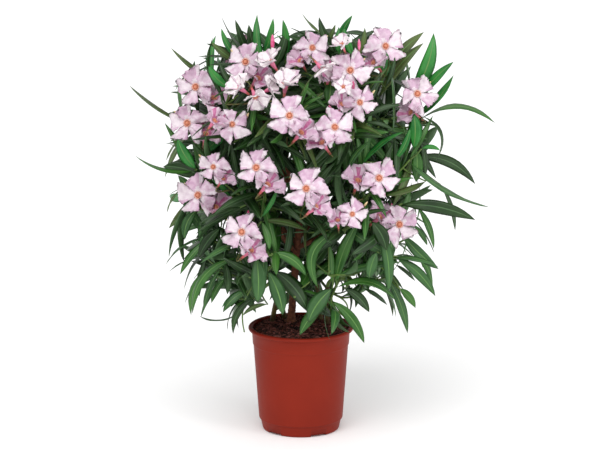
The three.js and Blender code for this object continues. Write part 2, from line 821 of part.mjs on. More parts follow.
// A leaf position of a whorl is tried at a few angles and lengths before it is skipped
function whorlLeaf(shoot, place, axis, whorl, index, turn, placed) {
  const low = THREE.MathUtils.clamp((hangFrom - place.z) / hangOver, 0, 1);
  const spread = radians(whorlSpread[whorl] + hangSpread * low);
  const side = axis.clone().cross(Math.abs(axis.z) > 0.9 ? new THREE.Vector3(0, 1, 0) : up).normalize();
  const other = axis.clone().cross(side);
  const length = between(leafLength, 41, shoot.key, whorl, index) * (whorl === 0 ? tipWhorlScale : 1);
  for (const { swing, closer, shrink } of attempts) {
    const angle = turn + (index * 2 * Math.PI) / leavesInWhorl + swing;
    const open = spread * closer;
    const sideways = side.clone().multiplyScalar(Math.cos(angle)).addScaledVector(other, Math.sin(angle));
    const direction = axis.clone().multiplyScalar(Math.cos(open)).addScaledVector(sideways, Math.sin(open));
    direction.addScaledVector(up, -whorlDrop * whorl - hangDrop * low).normalize();
    const bend = between(leafBend, 42, shoot.key, whorl, index) + hangBend * low;
    const root = place.clone().addScaledVector(sideways, leafInset);
    const faceUp = axis.clone().addScaledVector(up, faceLift);
    const leaf = leafShape(root, direction, faceUp, length * shrink, bend);
    if (leafFits(leaf, shoot, placed)) return leaf;
  }
  return null;
}

function farLeaf(shoot, placed) {
  const tip = vector(shoot.far.tip);
  const chord = tip.clone().sub(shoot.tip);
  const length = chord.length();
  const lifted = chord.clone().normalize().addScaledVector(up, (2 * shoot.far.arch) / length).normalize();
  const bend = 2 * Math.atan((2 * shoot.far.arch) / length);
  const root = shoot.tip.clone().addScaledVector(shoot.axis, -farLeafStart);
  const leaf = leafShape(root, lifted, vector(farLeafFace), length * farLeafStretch, bend);
  leaf.width = Math.min(leaf.width, farLeafWidth);
  leaf.far = true;
  return leafFits(leaf, shoot, placed) ? leaf : null;
}

function leavesOf(shoot, placed) {
  const leaves = [];
  const reach = shoot.twig[0].distanceTo(shoot.tip);
  if (shoot.far) leaves.push(farLeaf(shoot, placed));
  const whorls = shoot.far ? farWhorls : whorlCount;
  for (let whorl = 0; whorl < whorls; whorl += 1) {
    const back = firstWhorl + whorl * whorlStep;
    if (back > reach * lastWhorlShare) break;
    const { place, axis } = alongTwig(shoot.twig, back);
    const turn = 2 * Math.PI * chance(43, shoot.key) + (whorl * Math.PI) / leavesInWhorl;
    for (let index = 0; index < leavesInWhorl; index += 1) {
      leaves.push(whorlLeaf(shoot, place, axis, whorl, index, turn, placed));
    }
  }
  return leaves.filter(Boolean);
}

// A twig from the mass's stem to the shoot's tip, arriving along the shoot's axis.
// It is straightened step by step where its curve would leave the mass's space.
function twigCurve(start, shoot) {
  const span = start.distanceTo(shoot.tip);
  for (const share of twigLeads) {
    const control = shoot.tip.clone().addScaledVector(shoot.axis, -share * span);
    if (share === 0) control.copy(start).lerp(shoot.tip, 0.5);
    const curve = new THREE.QuadraticBezierCurve3(start, control, shoot.tip);
    const fits = curve.getPoints(twigTests).every((point, i) => {
      const inside = roomInSpace(point, shoot.mass) > twigRadius + spaceMargin || i < twigFreeTests;
      return inside && !touchesLimb(point, twigRadius + twigRoom);
    });
    if (fits) return curve.getPoints(twigSteps);
  }
  return null;
}

// The place and the direction of a twig at a distance back from its tip
function alongTwig(points, back) {
  let left = back;
  for (let i = points.length - 1; i > 0; i -= 1) {
    const piece = points[i].clone().sub(points[i - 1]);
    const length = piece.length();
    const axis = piece.clone().normalize();
    if (left <= length) return { place: points[i].clone().addScaledVector(axis, -left), axis };
    left -= length;
  }
  return null;
}

function twigSamples(points) {
  const reach = points[0].distanceTo(points[points.length - 1]);
  const samples = [];
  for (let back = 0; back < reach * twigSampleShare; back += twigSampleStep) {
    samples.push(alongTwig(points, back).place);
  }
  return samples;
}

function massMesh(mass) {
  const bough = boughs.find((each) => each.mass === mass);
  const curve = new THREE.CatmullRomCurve3(bough.points);
  const direction = curve.getTangent(1);
  const start = bough.points[2].clone().addScaledVector(direction, massStemGap);
  const heart = heartOf(mass);
  const bend = start.clone().addScaledVector(direction, start.distanceTo(heart) * massStemBend);
  const stem = new THREE.QuadraticBezierCurve3(start, bend, heart);
  const stemRadius = (t) => mix(boughTipRadius - massStemInset, stemTipRadius, t);
  const solids = [limbSolid(stem.getPoints(3), stemRadius, 5, 3, direction)];
  const placed = [];
  const mine = shoots.filter((shoot) => shoot.mass === mass);
  mine.forEach((shoot, index) => {
    const share = mix(twigFootRange[0], twigFootRange[1], index / (mine.length - 1));
    shoot.twig = twigCurve(stem.getPoint(share), shoot);
    if (shoot.twig) placed.push({ shoot, twig: true, points: twigSamples(shoot.twig) });
  });
  for (const shoot of mine.filter((each) => each.twig)) {
    const radiusAt = (t) => mix(twigRadius, twigTipRadius, t);
    solids.push(limbSolid(shoot.twig, radiusAt, 3, twigSteps));
    for (const leaf of leavesOf(shoot, placed)) solids.push(leafSolid(leaf));
    shoot.blossoms.forEach((blossom, index) => {
      solids.push(blossomSolid(blossom, alongTwig(shoot.twig, stalkFeet[index]).place));
    });
  }
  return toMesh(mass.name, largestBody(joined(solids)), materials.leaf);
}

const plant = new THREE.Group();
plant.add(pot(), soil(), ...limbMeshes(), ...masses.map(massMesh));

export default plant;
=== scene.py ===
# The looks of the potted oleander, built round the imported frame: a moulded nursery pot, bark
# compost, limbs with bark relief, twigs, lance-shaped leaves in whorls of three, and blossoms.
# Sizes are in millimetres until a mesh is made. +Z is up, -Y is the front, and the origin is
# the middle of the pot's flat underside.
import math
from functools import lru_cache

import bpy
import numpy as np
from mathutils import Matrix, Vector, noise


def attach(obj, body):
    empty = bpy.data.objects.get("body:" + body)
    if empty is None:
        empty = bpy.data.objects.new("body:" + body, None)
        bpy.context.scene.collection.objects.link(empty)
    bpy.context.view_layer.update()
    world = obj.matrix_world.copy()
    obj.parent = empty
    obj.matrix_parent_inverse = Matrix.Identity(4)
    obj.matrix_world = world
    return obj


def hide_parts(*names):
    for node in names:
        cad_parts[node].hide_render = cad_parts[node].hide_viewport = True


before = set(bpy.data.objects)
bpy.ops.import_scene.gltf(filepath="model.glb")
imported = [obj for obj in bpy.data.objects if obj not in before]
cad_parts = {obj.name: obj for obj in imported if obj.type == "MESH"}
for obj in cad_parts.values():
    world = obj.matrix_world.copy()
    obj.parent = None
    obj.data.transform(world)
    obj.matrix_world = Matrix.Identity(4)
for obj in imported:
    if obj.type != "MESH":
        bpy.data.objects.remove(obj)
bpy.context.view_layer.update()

MM = 0.001
UP = np.array([0.0, 0.0, 1.0])
AHEAD = np.array([0.0, -1.0, 0.0])
GOLDEN_ANGLE = math.pi * (3 - math.sqrt(5))

# Materials: where a colour starts and ends to change to the other, and the detail of the noises
MOTTLE_EDGES = (0.35, 0.65)
MOTTLE_DETAIL = 3
BUMP_DETAIL = 4

# Paints: a name, and two colours from 0 to 255 that lie side by side in soft spots. Some go on
# with their roughness and then with the cells a metre of the noise.
LEAF_PAINTS = (
    ("leaf_fresh", (24, 100, 36), (46, 126, 48)),
    ("leaf_mid", (38, 86, 26), (58, 106, 38)),
    # the deep paint: darker leaves, and painted shade inside the crown and between blossoms
    ("leaf_deep_and_shaded", (18, 46, 10), (32, 64, 18)),
    ("leaf_grey", (36, 78, 32), (56, 98, 48)),
    ("leaf_olive", (64, 84, 40), (84, 100, 52)),
    ("leaf_rib", (98, 138, 70), (80, 120, 58)),
    ("leaf_under", (58, 90, 52), (74, 104, 64), 0.55),
)
PETAL_PAINTS = (
    ("petal_white", (224, 212, 216), (246, 238, 240)),
    ("petal_pale", (210, 194, 204), (226, 214, 220)),
    ("petal_pink", (202, 170, 190), (218, 200, 212)),
    ("petal_lilac", (192, 154, 180), (210, 182, 200)),
    # the streak paint: a streak on young blossoms, and painted shade inside the cupped ones
    ("petal_streak_and_shade", (172, 84, 132), (198, 128, 164)),
    ("petal_back", (194, 138, 166), (214, 176, 192)),
    ("petal_base", (192, 84, 112), (206, 120, 148)),
)
THROAT_PAINTS = (
    ("throat_crown", (216, 166, 152), (210, 146, 126)),
    ("throat_inside", (204, 134, 110), (212, 146, 124)),
    ("anthers", (208, 138, 108), (198, 116, 86)),
)
TUBE_PAINTS = (
    ("tube_pink", (208, 100, 134), (220, 130, 158), 0.5, 120),
    ("tube_coral", (190, 84, 84), (204, 108, 104), 0.5, 120),
    ("calyx", (134, 62, 50), (104, 92, 52), 0.6, 160),
    ("bud_pink", (204, 64, 118), (222, 128, 166), 0.5, 120),
    ("bud_pale", (236, 214, 160), (226, 196, 150), 0.5, 120),
    ("stalk", (112, 98, 58), (96, 108, 54), 0.6, 120),
)
CHIP_PAINTS = (
    ("chip_dark", (48, 28, 26), (66, 40, 34)),
    ("chip_red", (92, 48, 40), (112, 62, 52)),
    ("chip_brown", (66, 34, 30), (84, 46, 40)),
    ("chip_pale", (112, 66, 60), (140, 92, 84)),
    ("chip_black", (30, 20, 20), (44, 28, 26)),
)

# Camera: the photograph is 600 pixels wide, and its width spans this much at the pot's axis
VIEW_WIDTH = 1078
VIEW_TARGET = (-1.6, 0, 378)
VIEW_ELEVATION = math.radians(14)
VIEW_DISTANCE = 8000
SENSOR_WIDTH = 36
TO_VIEWER = np.array([0.0, -math.cos(VIEW_ELEVATION), math.sin(VIEW_ELEVATION)])

# Light, and the floor, in metres
WORLD_LIGHT = 0.8
SUN_LIGHT = 1.7
SUN_SOFTNESS = math.radians(50)
SUN_AIM = (0.25, 1.0, -1.2)
SIDE_LIGHT = 14
SIDE_LIGHT_SIZE = 0.8
SIDE_LIGHT_PLACE = (2.0, -1.6, 1.2)
SIDE_LIGHT_AIM = (0, 0, 0.4)
FLOOR_REACH = 30
FLOOR_COLOUR = (252, 252, 252)

# Pot
POT_SEGMENTS = 180
POT_HEIGHT = 191
FOOT_RADIUS = 69.5
FOOT_TOP_RADIUS = 73.3
FOOT_HEIGHT = 20
WALL_FOOT_RADIUS = 75.8
WALL_TOP_RADIUS = 85.7
WALL_TOP = 158
BAND_RADIUS = 87.1
BAND_TOP_RADIUS = 88.4
BAND_TOP = 184
RIM_RADIUS = 95
BEAD_HEIGHT = 7
POT_WALL = 2
POT_FLOOR = 6
FOOT_NOTCHES = 5
NOTCH_ANGLE = math.radians(26)
NOTCH_PHASE = math.radians(28)
NOTCH_HEIGHT = 4
NOTCH_DEPTH = 12

# Soil
SOIL_EDGE = 184
SOIL_TOP = 189
PLATEAU_RADIUS = 74
SOIL_CLEARANCE = 0.5
SOIL_SEGMENTS = 160
CHIP_COUNT = 1300
CHIP_SIZE = np.array([11, 4, 2.8])
FIBRE_COUNT = 150
FIBRE_RADIUS = 0.45

# Chips and fibres draw their paint's number from this span, so the last one is rare
CHIP_DRAW = 4.4

# Trunk and limbs, as in the frame
LIMB_GAP = 0.3
TRUNK_FOOT = np.array([-18.0, 34.0, SOIL_TOP + LIMB_GAP])
TRUNK_TIP = np.array([2.0, 0.0, 436.0])
TRUNK_BENDS = ((0.1, 216), (0.5, 318))
TRUNK_RADII = (7.4, 5.6)
TRUNK_FLARE = 6
FLARE_HEIGHT = 11
BOUGH_RADII = (4.6, 3.7)
BOUGH_SHARE = 0.5
HEART_PULL = np.array([0.78, 0.78, 0.97])
STEM_TIP_RADIUS = 2.9
TWIG_RADII = (2.6, 1.7)
TWIG_ROOM = 3.6
FINE_TWIG_RADII = (1.7, 1.2)
STALK_RADII = (1.5, 1.1)

# Side twigs: where they leave a twig that is long enough, and how long they are
SIDE_TWIG_SHARES = (0.42, 0.66)
SIDE_TWIG_LENGTH = (46, 74)
SHORTEST_FORKED = 60

# Leaves
LEAF_LENGTH = (104, 134)
LEAF_WIDTH = 0.2
FIRST_WHORL = 3
WHORL_STEP = 21
WHORL_SPREAD = (34, 50, 64, 76, 84, 90)
LEAVES_IN_WHORL = 3
WHORLS = 5
FAR_WHORLS = 2
SIDE_WHORLS = 3
WIDTH_SPREAD = (0.66, 1.05)
BEND_SPREAD = (0.12, 0.42)

# Leaves low in the crown hang more: below the top, and in full once this far below it
HANG_TOP = 520
HANG_DEPTH = 320

# Leaves of this part of the front are narrower, because blossoms stand close there, and darker: painted
# shade between the blossoms
DENSE_FRONT = -50
DENSE_HEIGHTS = (400, 660)

# Limits of the leaves' tones: inside this radius (where the deep tone is painted shade), above this
# height, and above this one
INNER_RADIUS = 110
TOP_TONES = 610
MIDDLE_TONES = 400

# Blossoms, and how far leaves keep clear before an open one and before one seen from the side
VIEW_REACH = 100
SIDE_VIEW_REACH = 55
BLOSSOM_RADIUS = 36
TUBE_LENGTH = 34
PETALS = 5
PETAL_SPIN = 0.09
BACK_COMPANION = (20, -31)

# The second blossom of a pair: its throat's place right of, above and behind the first one's
# middle, and the way it faces, for a first one of the full radius and a pair that isn't turned
PAIR_STEP = (25, -28, 3)
PAIR_FACE = (0.34, 0.8, 0.5)
PAIR_SCALE = 0.9

# How far back from its twig's tip each blossom of a pair has its stalk
BLOSSOM_FEET = (3, 26)

# Crown
CROWN_CENTRE = 470
CROWN_HALF_HEIGHT = 270
CROWN_RADIUS = 176
CROWN_POWER = 2.7
CROWN_TOP = 740
CROWN_TOP_FALL = 0.25
CROWN_REACH = 246
CROWN_FOOT = 172
LOW_TAPER = (300, 110, 0.4)
HIGH_TAPER = (565, 200, 0.55)
SHOOT_COUNT = 74
SHOOT_LOW = 232
SHOOT_HIGH = 716
SHOOT_SPACING = 58
SHOOT_ROOM = 9
SHOOT_RISE = (0.18, 0.86)
FLOWERING_SHARE = 0.5
FLOWERING_FOOT = 380
FLOWERING_TOP = 680

# Front twigs end this far behind, inward of and below their blossom, this far inside their mass
FRONT_BACK = 26
FRONT_INWARD = 18
FRONT_DROP = 34
BLOSSOM_INSET = 34

# Spiral shoots: the first one's angle, their spread in radius, and how far beyond the twig's tip
# their blossom opens, along the twig, up and outwards
SPIRAL_PHASE = 0.4
SPIRAL_SPREAD = (0.9, 1.04)
SPIRAL_STEP = (26, 14, 18)

# First keys of the shoots' random numbers
FAR_KEY = 40
SPIRAL_KEY = 60
SIDE_TWIG_KEY = 200

# The space that leaves can take, in cells of this size, and how far they keep off pot and limbs
ROOM_LOW = (-380, -330, 100)
ROOM_HIGH = (400, 330, 800)
ROOM_CELL = 4
POT_CLEARANCE = 4
LIMB_CLEARANCE = 1.5

# The leaves leave an opening at the front through which the soil and the trunk's foot show
OPENING_SIDES = (-88, 28)
OPENING_BACK = 30
OPENING_TOP = 216
OPENING_RISE = 0.25

# Foliage masses: sectors round the trunk in degrees from +X, each cut by two planes given by
# their height at the axis and their slope in degrees
SECTORS = (
    ("right", -75, 12, ((408, 12), (594, 14))),
    ("back_right", 12, 100, ((426, 19), (586, 9))),
    ("back_left", 100, 192, ((402, 9), (600, 17))),
    ("left", 192, 285, ((420, 16), (583, 9))),
)

# A bough leaves the trunk at a height, and a basal stem leaves the soil at a foot
BANDS = (
    ("lower", 30, ((47, 14), (36, 46), (-30, 58), (-52, 34))),
    ("middle", 60, (332, 350, 340, 322)),
    ("upper", 92, (404, 416, 410, 396)),
)

# Front blossom sprays: the middle of each open face, its radius, and how far right of it and
# above it the source sets the spray's second blossom, which is seen from the side
FRONT_BLOSSOMS = (
    ((-97, -98, 698), 36, (20, -31)), ((-186, -44, 641), 37, (31, -22)),
    ((-201, -52, 577), 37, (29, -20)), ((-120, -145, 596), 31, (-27, 4)),
    ((-20, -182, 620), 36, (20, -34)), ((20, -96, 723), 31, (-22, -27)),
    ((86, -118, 687), 36, (-29, -8)), ((149, -40, 714), 35, (-20, -34)),
    ((206, -36, 627), 35, (-9, -38)), ((103, -148, 636), 31, (-32, -5)),
    ((59, -180, 599), 35, (-22, -32)), ((-154, -122, 514), 27, (16, -23)),
    ((-182, -78, 452), 37, (31, -25)), ((-78, -182, 527), 36, (18, -32)),
    ((9, -198, 493), 36, (16, -36)), ((-104, -163, 406), 36, (16, -38)),
    ((137, -144, 499), 36, (-38, -7)), ((90, -177, 442), 27, (-28, -15)),
    ((174, -96, 403), 36, (-34, 11)),
)

# Young blossoms, pale and half open: the place (millimetres right of the axis, up the picture,
# and towards the viewer), the radius, and how far the face leans right, up and to the viewer
YOUNG_BLOSSOMS = (
    ((-106, 606, 146), 27, (-0.7, 0.6, 0.4)),
    ((-80, 592, 156), 28, (0.3, -0.5, 0.8)),
    ((-56, 604, 146), 22, (0.8, 0.5, 0.3)),
    ((-27, 612, 138), 32, (0.1, 0.9, 0.35)),
    ((-52, 652, 120), 28, (-0.5, 0.8, 0.3)),
    ((74, 608, 160), 19, (0.0, 0.4, 0.9)),
    ((36, 642, 128), 26, (0.6, -0.5, 0.6)),
    ((72, 682, 124), 22, (-0.3, 0.8, 0.5)),
)

# Pink buds that the front shows: the tip's place as the viewer sees it, and the size
SEEN_BUDS = (
    ((-50, 702, 100), 1.25),
    ((102, 694, 100), 0.95),
)

# Leaf tones, which number the leaves' materials; the deep tone is a darker leaf colour and also painted
# shade inside the crown and between the blossoms
FRESH, MID, DEEP_AND_SHADED, GREY, OLIVE = range(5)

# Leaves that reach furthest: where each springs, where its tip is, how far it bows to the left
# of the way it runs as the viewer sees it, how wide it looks, and its tone
FAR_LEAVES = (
    ((-208, -6, 570), (-304, -60, 648), 9, 9, OLIVE),
    ((-190, -60, 496), (-294, -92, 528), 13, 11, MID),
    ((-168, -8, 656), (-230, -48, 713), 5, 13, OLIVE),
    ((212, -20, 578), (346, -30, 572), 28, 9, MID),
    ((205, 24, 500), (314, 30, 446), 18, 20, DEEP_AND_SHADED),
    ((194, -56, 512), (336, -70, 428), -14, 15, GREY),
    ((178, -78, 436), (310, -92, 410), 10, 25, DEEP_AND_SHADED),
    ((172, -70, 338), (240, -84, 268), 8, 20, GREY),
    ((196, 4, 356), (238, 8, 262), 7, 15, MID),
    ((158, -30, 290), (192, -34, 186), 6, 16, GREY),
    ((-150, -60, 318), (-196, -84, 232), -20, 15, MID),
    ((-166, -44, 366), (-216, -54, 300), -6, 14, MID),
    ((210, -6, 612), (271, -30, 684), 4, 16, FRESH),
    ((156, -12, 672), (218, -22, 736), 4, 18, OLIVE),
    ((-84, -40, 684), (-116, -50, 764), 3, 15, DEEP_AND_SHADED),
    ((60, 30, 694), (92, 26, 757), 3, 14, FRESH),
    ((-28, -42, 690), (-32, -48, 764), -3, 15, FRESH),
)

# Leaves that the front shows, in rows of root and tip (each as millimetres right of the axis,
# up the picture, and towards the viewer), bow, width and tone
SEEN_LEAVES = (
    ((-110, 653, 60), (-158, 689, 66), 2, 14, OLIVE),
    ((-113, 661, 70), (-140, 713, 72), 4, 11, FRESH),
    ((-95, 664, 50), (-140, 734, 52), 4, 7, DEEP_AND_SHADED),
    ((-77, 664, 56), (-92, 720, 60), 2, 15, DEEP_AND_SHADED),
    ((-67, 637, 66), (-77, 738, 62), 5, 17, FRESH),
    ((-70, 661, 30), (-49, 733, 28), -4, 12, FRESH),
    ((-56, 637, 50), (-25, 715, 44), -6, 19, DEEP_AND_SHADED),
    ((-110, 596, 100), (-144, 655, 108), 4, 11, DEEP_AND_SHADED),
    ((-124, 607, 110), (-162, 646, 122), 5, 17, FRESH),
    ((52, 697, 20), (2, 742, 14), 6, 5, OLIVE),
    ((67, 664, 60), (32, 734, 50), 6, 15, DEEP_AND_SHADED),
    ((38, 682, 34), (61, 722, 34), -3, 9, OLIVE),
    ((67, 664, 76), (67, 716, 72), 2, 13, FRESH),
    ((95, 661, 60), (76, 716, 56), 4, 15, FRESH),
    ((99, 661, 40), (113, 716, 36), -4, 11, OLIVE),
    ((149, 610, 60), (166, 664, 62), -3, 10, DEEP_AND_SHADED),
    ((139, 592, 20), (218, 690, 14), 8, 17, OLIVE),
    ((192, 590, 6), (236, 708, 0), -10, 28, FRESH),
    ((200, 556, 10), (272, 634, 6), -8, 14, FRESH),
    ((216, 560, 44), (241, 482, 40), 20, 8, DEEP_AND_SHADED),
    ((155, 661, 50), (162, 520, 60), 5, 6, GREY),
    ((52, 623, 100), (47, 578, 120), 2, 23, MID),
    ((-2, 569, 130), (38, 592, 136), 3, 8, MID),
    ((-185, 466, 70), (-218, 520, 76), 5, 23, FRESH),
    ((-173, 448, 60), (-245, 470, 64), -8, 28, DEEP_AND_SHADED),
    ((-214, 430, 40), (-239, 389, 36), -4, 6, OLIVE),
    ((-182, 396, 50), (-207, 340, 60), -9, 18, GREY),
    ((-160, 448, 50), (-124, 412, 60), 4, 10, FRESH),
    ((-70, 380, 150), (-41, 430, 156), -3, 9, FRESH),
    ((-70, 373, 140), (-56, 322, 160), 4, 15, MID),
    ((-70, 373, 120), (13, 355, 130), 8, 14, OLIVE),
    ((200, 565, 50), (200, 502, 56), 3, 25, FRESH),
    ((205, 502, 46), (205, 443, 50), 2, 22, MID),
    ((211, 524, 20), (221, 448, 20), 5, 13, DEEP_AND_SHADED),
    ((223, 445, 40), (148, 419, 80), 4, 14, OLIVE),
    ((250, 439, 10), (277, 356, 6), 6, 7, DEEP_AND_SHADED),
    ((214, 502, 60), (247, 499, 66), 5, 9, FRESH),
    ((108, 473, 120), (182, 531, 110), 8, 12, FRESH),
    ((164, 481, 100), (193, 538, 96), -5, 13, FRESH),
    ((81, 457, 130), (124, 515, 130), 8, 12, GREY),
    ((110, 553, 110), (178, 578, 100), 7, 11, DEEP_AND_SHADED),
    ((112, 547, 112), (164, 533, 116), 5, 9, DEEP_AND_SHADED),
    ((-142, 362, 70), (-182, 308, 80), -5, 22, DEEP_AND_SHADED),
    ((-169, 308, 50), (-182, 238, 54), -4, 13, DEEP_AND_SHADED),
    ((-110, 310, 110), (-193, 209, 120), -26, 15, MID),
    ((-142, 290, 80), (-173, 214, 90), -6, 10, GREY),
    ((-135, 272, 66), (-160, 227, 72), -4, 12, MID),
    ((-135, 301, 90), (-131, 243, 100), 3, 16, DEEP_AND_SHADED),
    ((-110, 250, 80), (-142, 218, 84), -3, 7, FRESH),
    ((-95, 250, 90), (-139, 211, 98), -6, 16, GREY),
    ((-83, 236, 84), (-121, 172, 92), -12, 13, DEEP_AND_SHADED),
    ((-59, 225, 80), (-104, 205, 90), -6, 9, OLIVE),
    ((-79, 311, 140), (-77, 229, 150), 3, 28, GREY),
    ((-63, 322, 120), (-63, 259, 130), -3, 15, GREY),
    ((-59, 286, 130), (-32, 207, 136), 5, 28, GREY),
    ((-49, 286, 104), (13, 211, 110), 9, 30, DEEP_AND_SHADED),
    ((-52, 317, 150), (9, 277, 160), 11, 20, MID),
    ((72, 358, 140), (31, 254, 130), -32, 19, MID),
    ((49, 337, 100), (54, 263, 104), 3, 12, MID),
    ((61, 256, 90), (103, 373, 120), 8, 21, MID),
    ((139, 362, 120), (155, 247, 130), 7, 21, GREY),
    ((135, 319, 130), (121, 272, 138), -3, 21, GREY),
    ((124, 373, 140), (151, 322, 150), 5, 27, DEEP_AND_SHADED),
    ((175, 254, 60), (205, 218, 64), 4, 15, MID),
    ((208, 400, 40), (238, 324, 44), 5, 13, MID),
    ((200, 368, 46), (226, 330, 48), 3, 10, GREY),
    ((180, 352, 60), (246, 288, 64), -4, 20, GREY),
    ((164, 308, 80), (245, 292, 76), 7, 10, GREY),
    ((167, 297, 50), (205, 266, 50), 3, 6, DEEP_AND_SHADED),
    ((65, 256, 100), (169, 232, 104), 22, 15, MID),
    ((77, 254, 84), (122, 211, 88), 6, 19, DEEP_AND_SHADED),
    ((110, 254, 60), (155, 223, 60), 4, 8, DEEP_AND_SHADED),
    ((56, 254, 110), (13, 193, 116), -6, 30, GREY),
    ((43, 228, 92), (-2, 170, 100), -5, 21, MID),
    ((54, 232, 98), (113, 156, 110), 9, 20, MID),
)

# Stretches of the trunk that show between the leaves, as heights
TRUNK_VIEWS = ((206, 288), (312, 356))
TRUNK_VIEW_RADIUS = 8
TRUNK_VIEW_AHEAD = (8, 210)

# How far before a leaf of the front the later ones keep clear, and how far the sky gaps go
LEAF_VIEW_AHEAD = (6, 150)
SKY_REACH = 260

# Places low in the crown where the background shows through: millimetres right and up, and radius
SKY_GAPS = (
    (113, 196, 15), (68, 238, 13), (201, 283, 11), (126, 226, 10), (80, 222, 9), (97, 205, 9),
    (174, 322, 8), (176, 277, 8), (214, 277, 9), (221, 383, 7), (205, 340, 6), (183, 346, 6),
    (188, 290, 8), (115, 240, 7), (146, 234, 6), (228, 304, 6), (-150, 229, 10), (-158, 218, 10),
    (-187, 231, 9), (-223, 399, 8), (-196, 349, 8), (-210, 283, 7), (-140, 240, 7), (-135, 362, 5),
    (-172, 247, 6), (-66, 262, 6), (-65, 238, 6), (-32, 281, 6), (79, 335, 7), (94, 270, 6),
    (43, 259, 6), (-106, 190, 7), (-97, 198, 8), (-151, 213, 6), (238, 376, 6), (241, 360, 5),
    (-133, 217, 5), (-168, 216, 6),
)


def mix(a, b, t):
    return a + (b - a) * t


def clamp(value, low=0.0, high=1.0):
    return min(high, max(low, value))


def chance(*keys):
    """A repeatable number from 0 to 1 for any list of whole numbers, as in the source."""
    value = 2166136261
    for key in keys:
        value = ((value ^ (key + 101)) * 16777619) & 0xFFFFFFFF
        value = ((value ^ (value >> 15)) * 2246822519) & 0xFFFFFFFF
        value ^= value >> 13
    return value / 4294967296


def between(span, *keys):
    return mix(span[0], span[1], chance(*keys))


def vec(*values):
    return np.array(values, float)


def polar(radius, angle, z):
    return vec(radius * math.cos(angle), radius * math.sin(angle), z)


def cross(a, b):
    return np.array([a[1] * b[2] - a[2] * b[1], a[2] * b[0] - a[0] * b[2], a[0] * b[1] - a[1] * b[0]])


def unit(a):
    return a / math.sqrt(a[0] * a[0] + a[1] * a[1] + a[2] * a[2])


def distance(a, b):
    return float(np.linalg.norm(a - b))


def outward_of(point):
    return unit(vec(point[0], point[1], 0))


def across_pair(axis):
    """Two directions square to an axis and to each other."""
    side = unit(cross(axis, vec(0, 1, 0) if abs(axis[2]) > 0.9 else UP))
    return side, cross(axis, side)


def around(pair, angle):
    """The direction at an angle from the first of two square directions towards the second."""
    return pair[0] * math.cos(angle) + pair[1] * math.sin(angle)


def face_frame(face):
    """The directions to the right and up on a face, as one who looks at it sees them."""
    side = unit(cross(UP, face)) if abs(face[2]) < 0.99 else vec(1, 0, 0)
    return side, cross(face, side)


def circle(sides):
    return np.arange(sides) * 2 * math.pi / sides


def ring(radius, angle, z):
    """Points round the upright axis."""
    return np.stack([radius * np.cos(angle), radius * np.sin(angle), np.full(len(angle), z)], 1)


def normalised(rows):
    return rows / np.linalg.norm(rows, axis=1)[:, None]


def directions(line):
    return normalised(np.gradient(line, axis=0))


def add_object(name, data):
    item = bpy.data.objects.new(name, data)
    bpy.context.scene.collection.objects.link(item)
    return item


# Meshes


@lru_cache(maxsize=None)
def loft_triangles(rings, sides):
    """A closed tube: point 0, rings that turn left round the way it runs, and a last point."""
    side = np.arange(sides)
    after = (side + 1) % sides
    last = 1 + rings * sides
    parts = [np.stack([np.zeros_like(side), 1 + after, 1 + side], 1)]
    for band in range(rings - 1):
        low = 1 + band * sides
        high = low + sides
        corners = (low + side, low + after, high + after, low + side, high + after, high + side)
        parts.append(np.stack(corners, 1).reshape(-1, 3))
    low = last - sides
    parts.append(np.stack([np.full(sides, last), low + side, low + after], 1))
    return np.concatenate(parts)


def loft_paints(rows):
    """Material of each triangle from rows of one number a side: start fan, bands, end fan."""
    bands = np.repeat(rows[1:-1].ravel(), 2)
    return np.concatenate([rows[0], bands, rows[-1]])


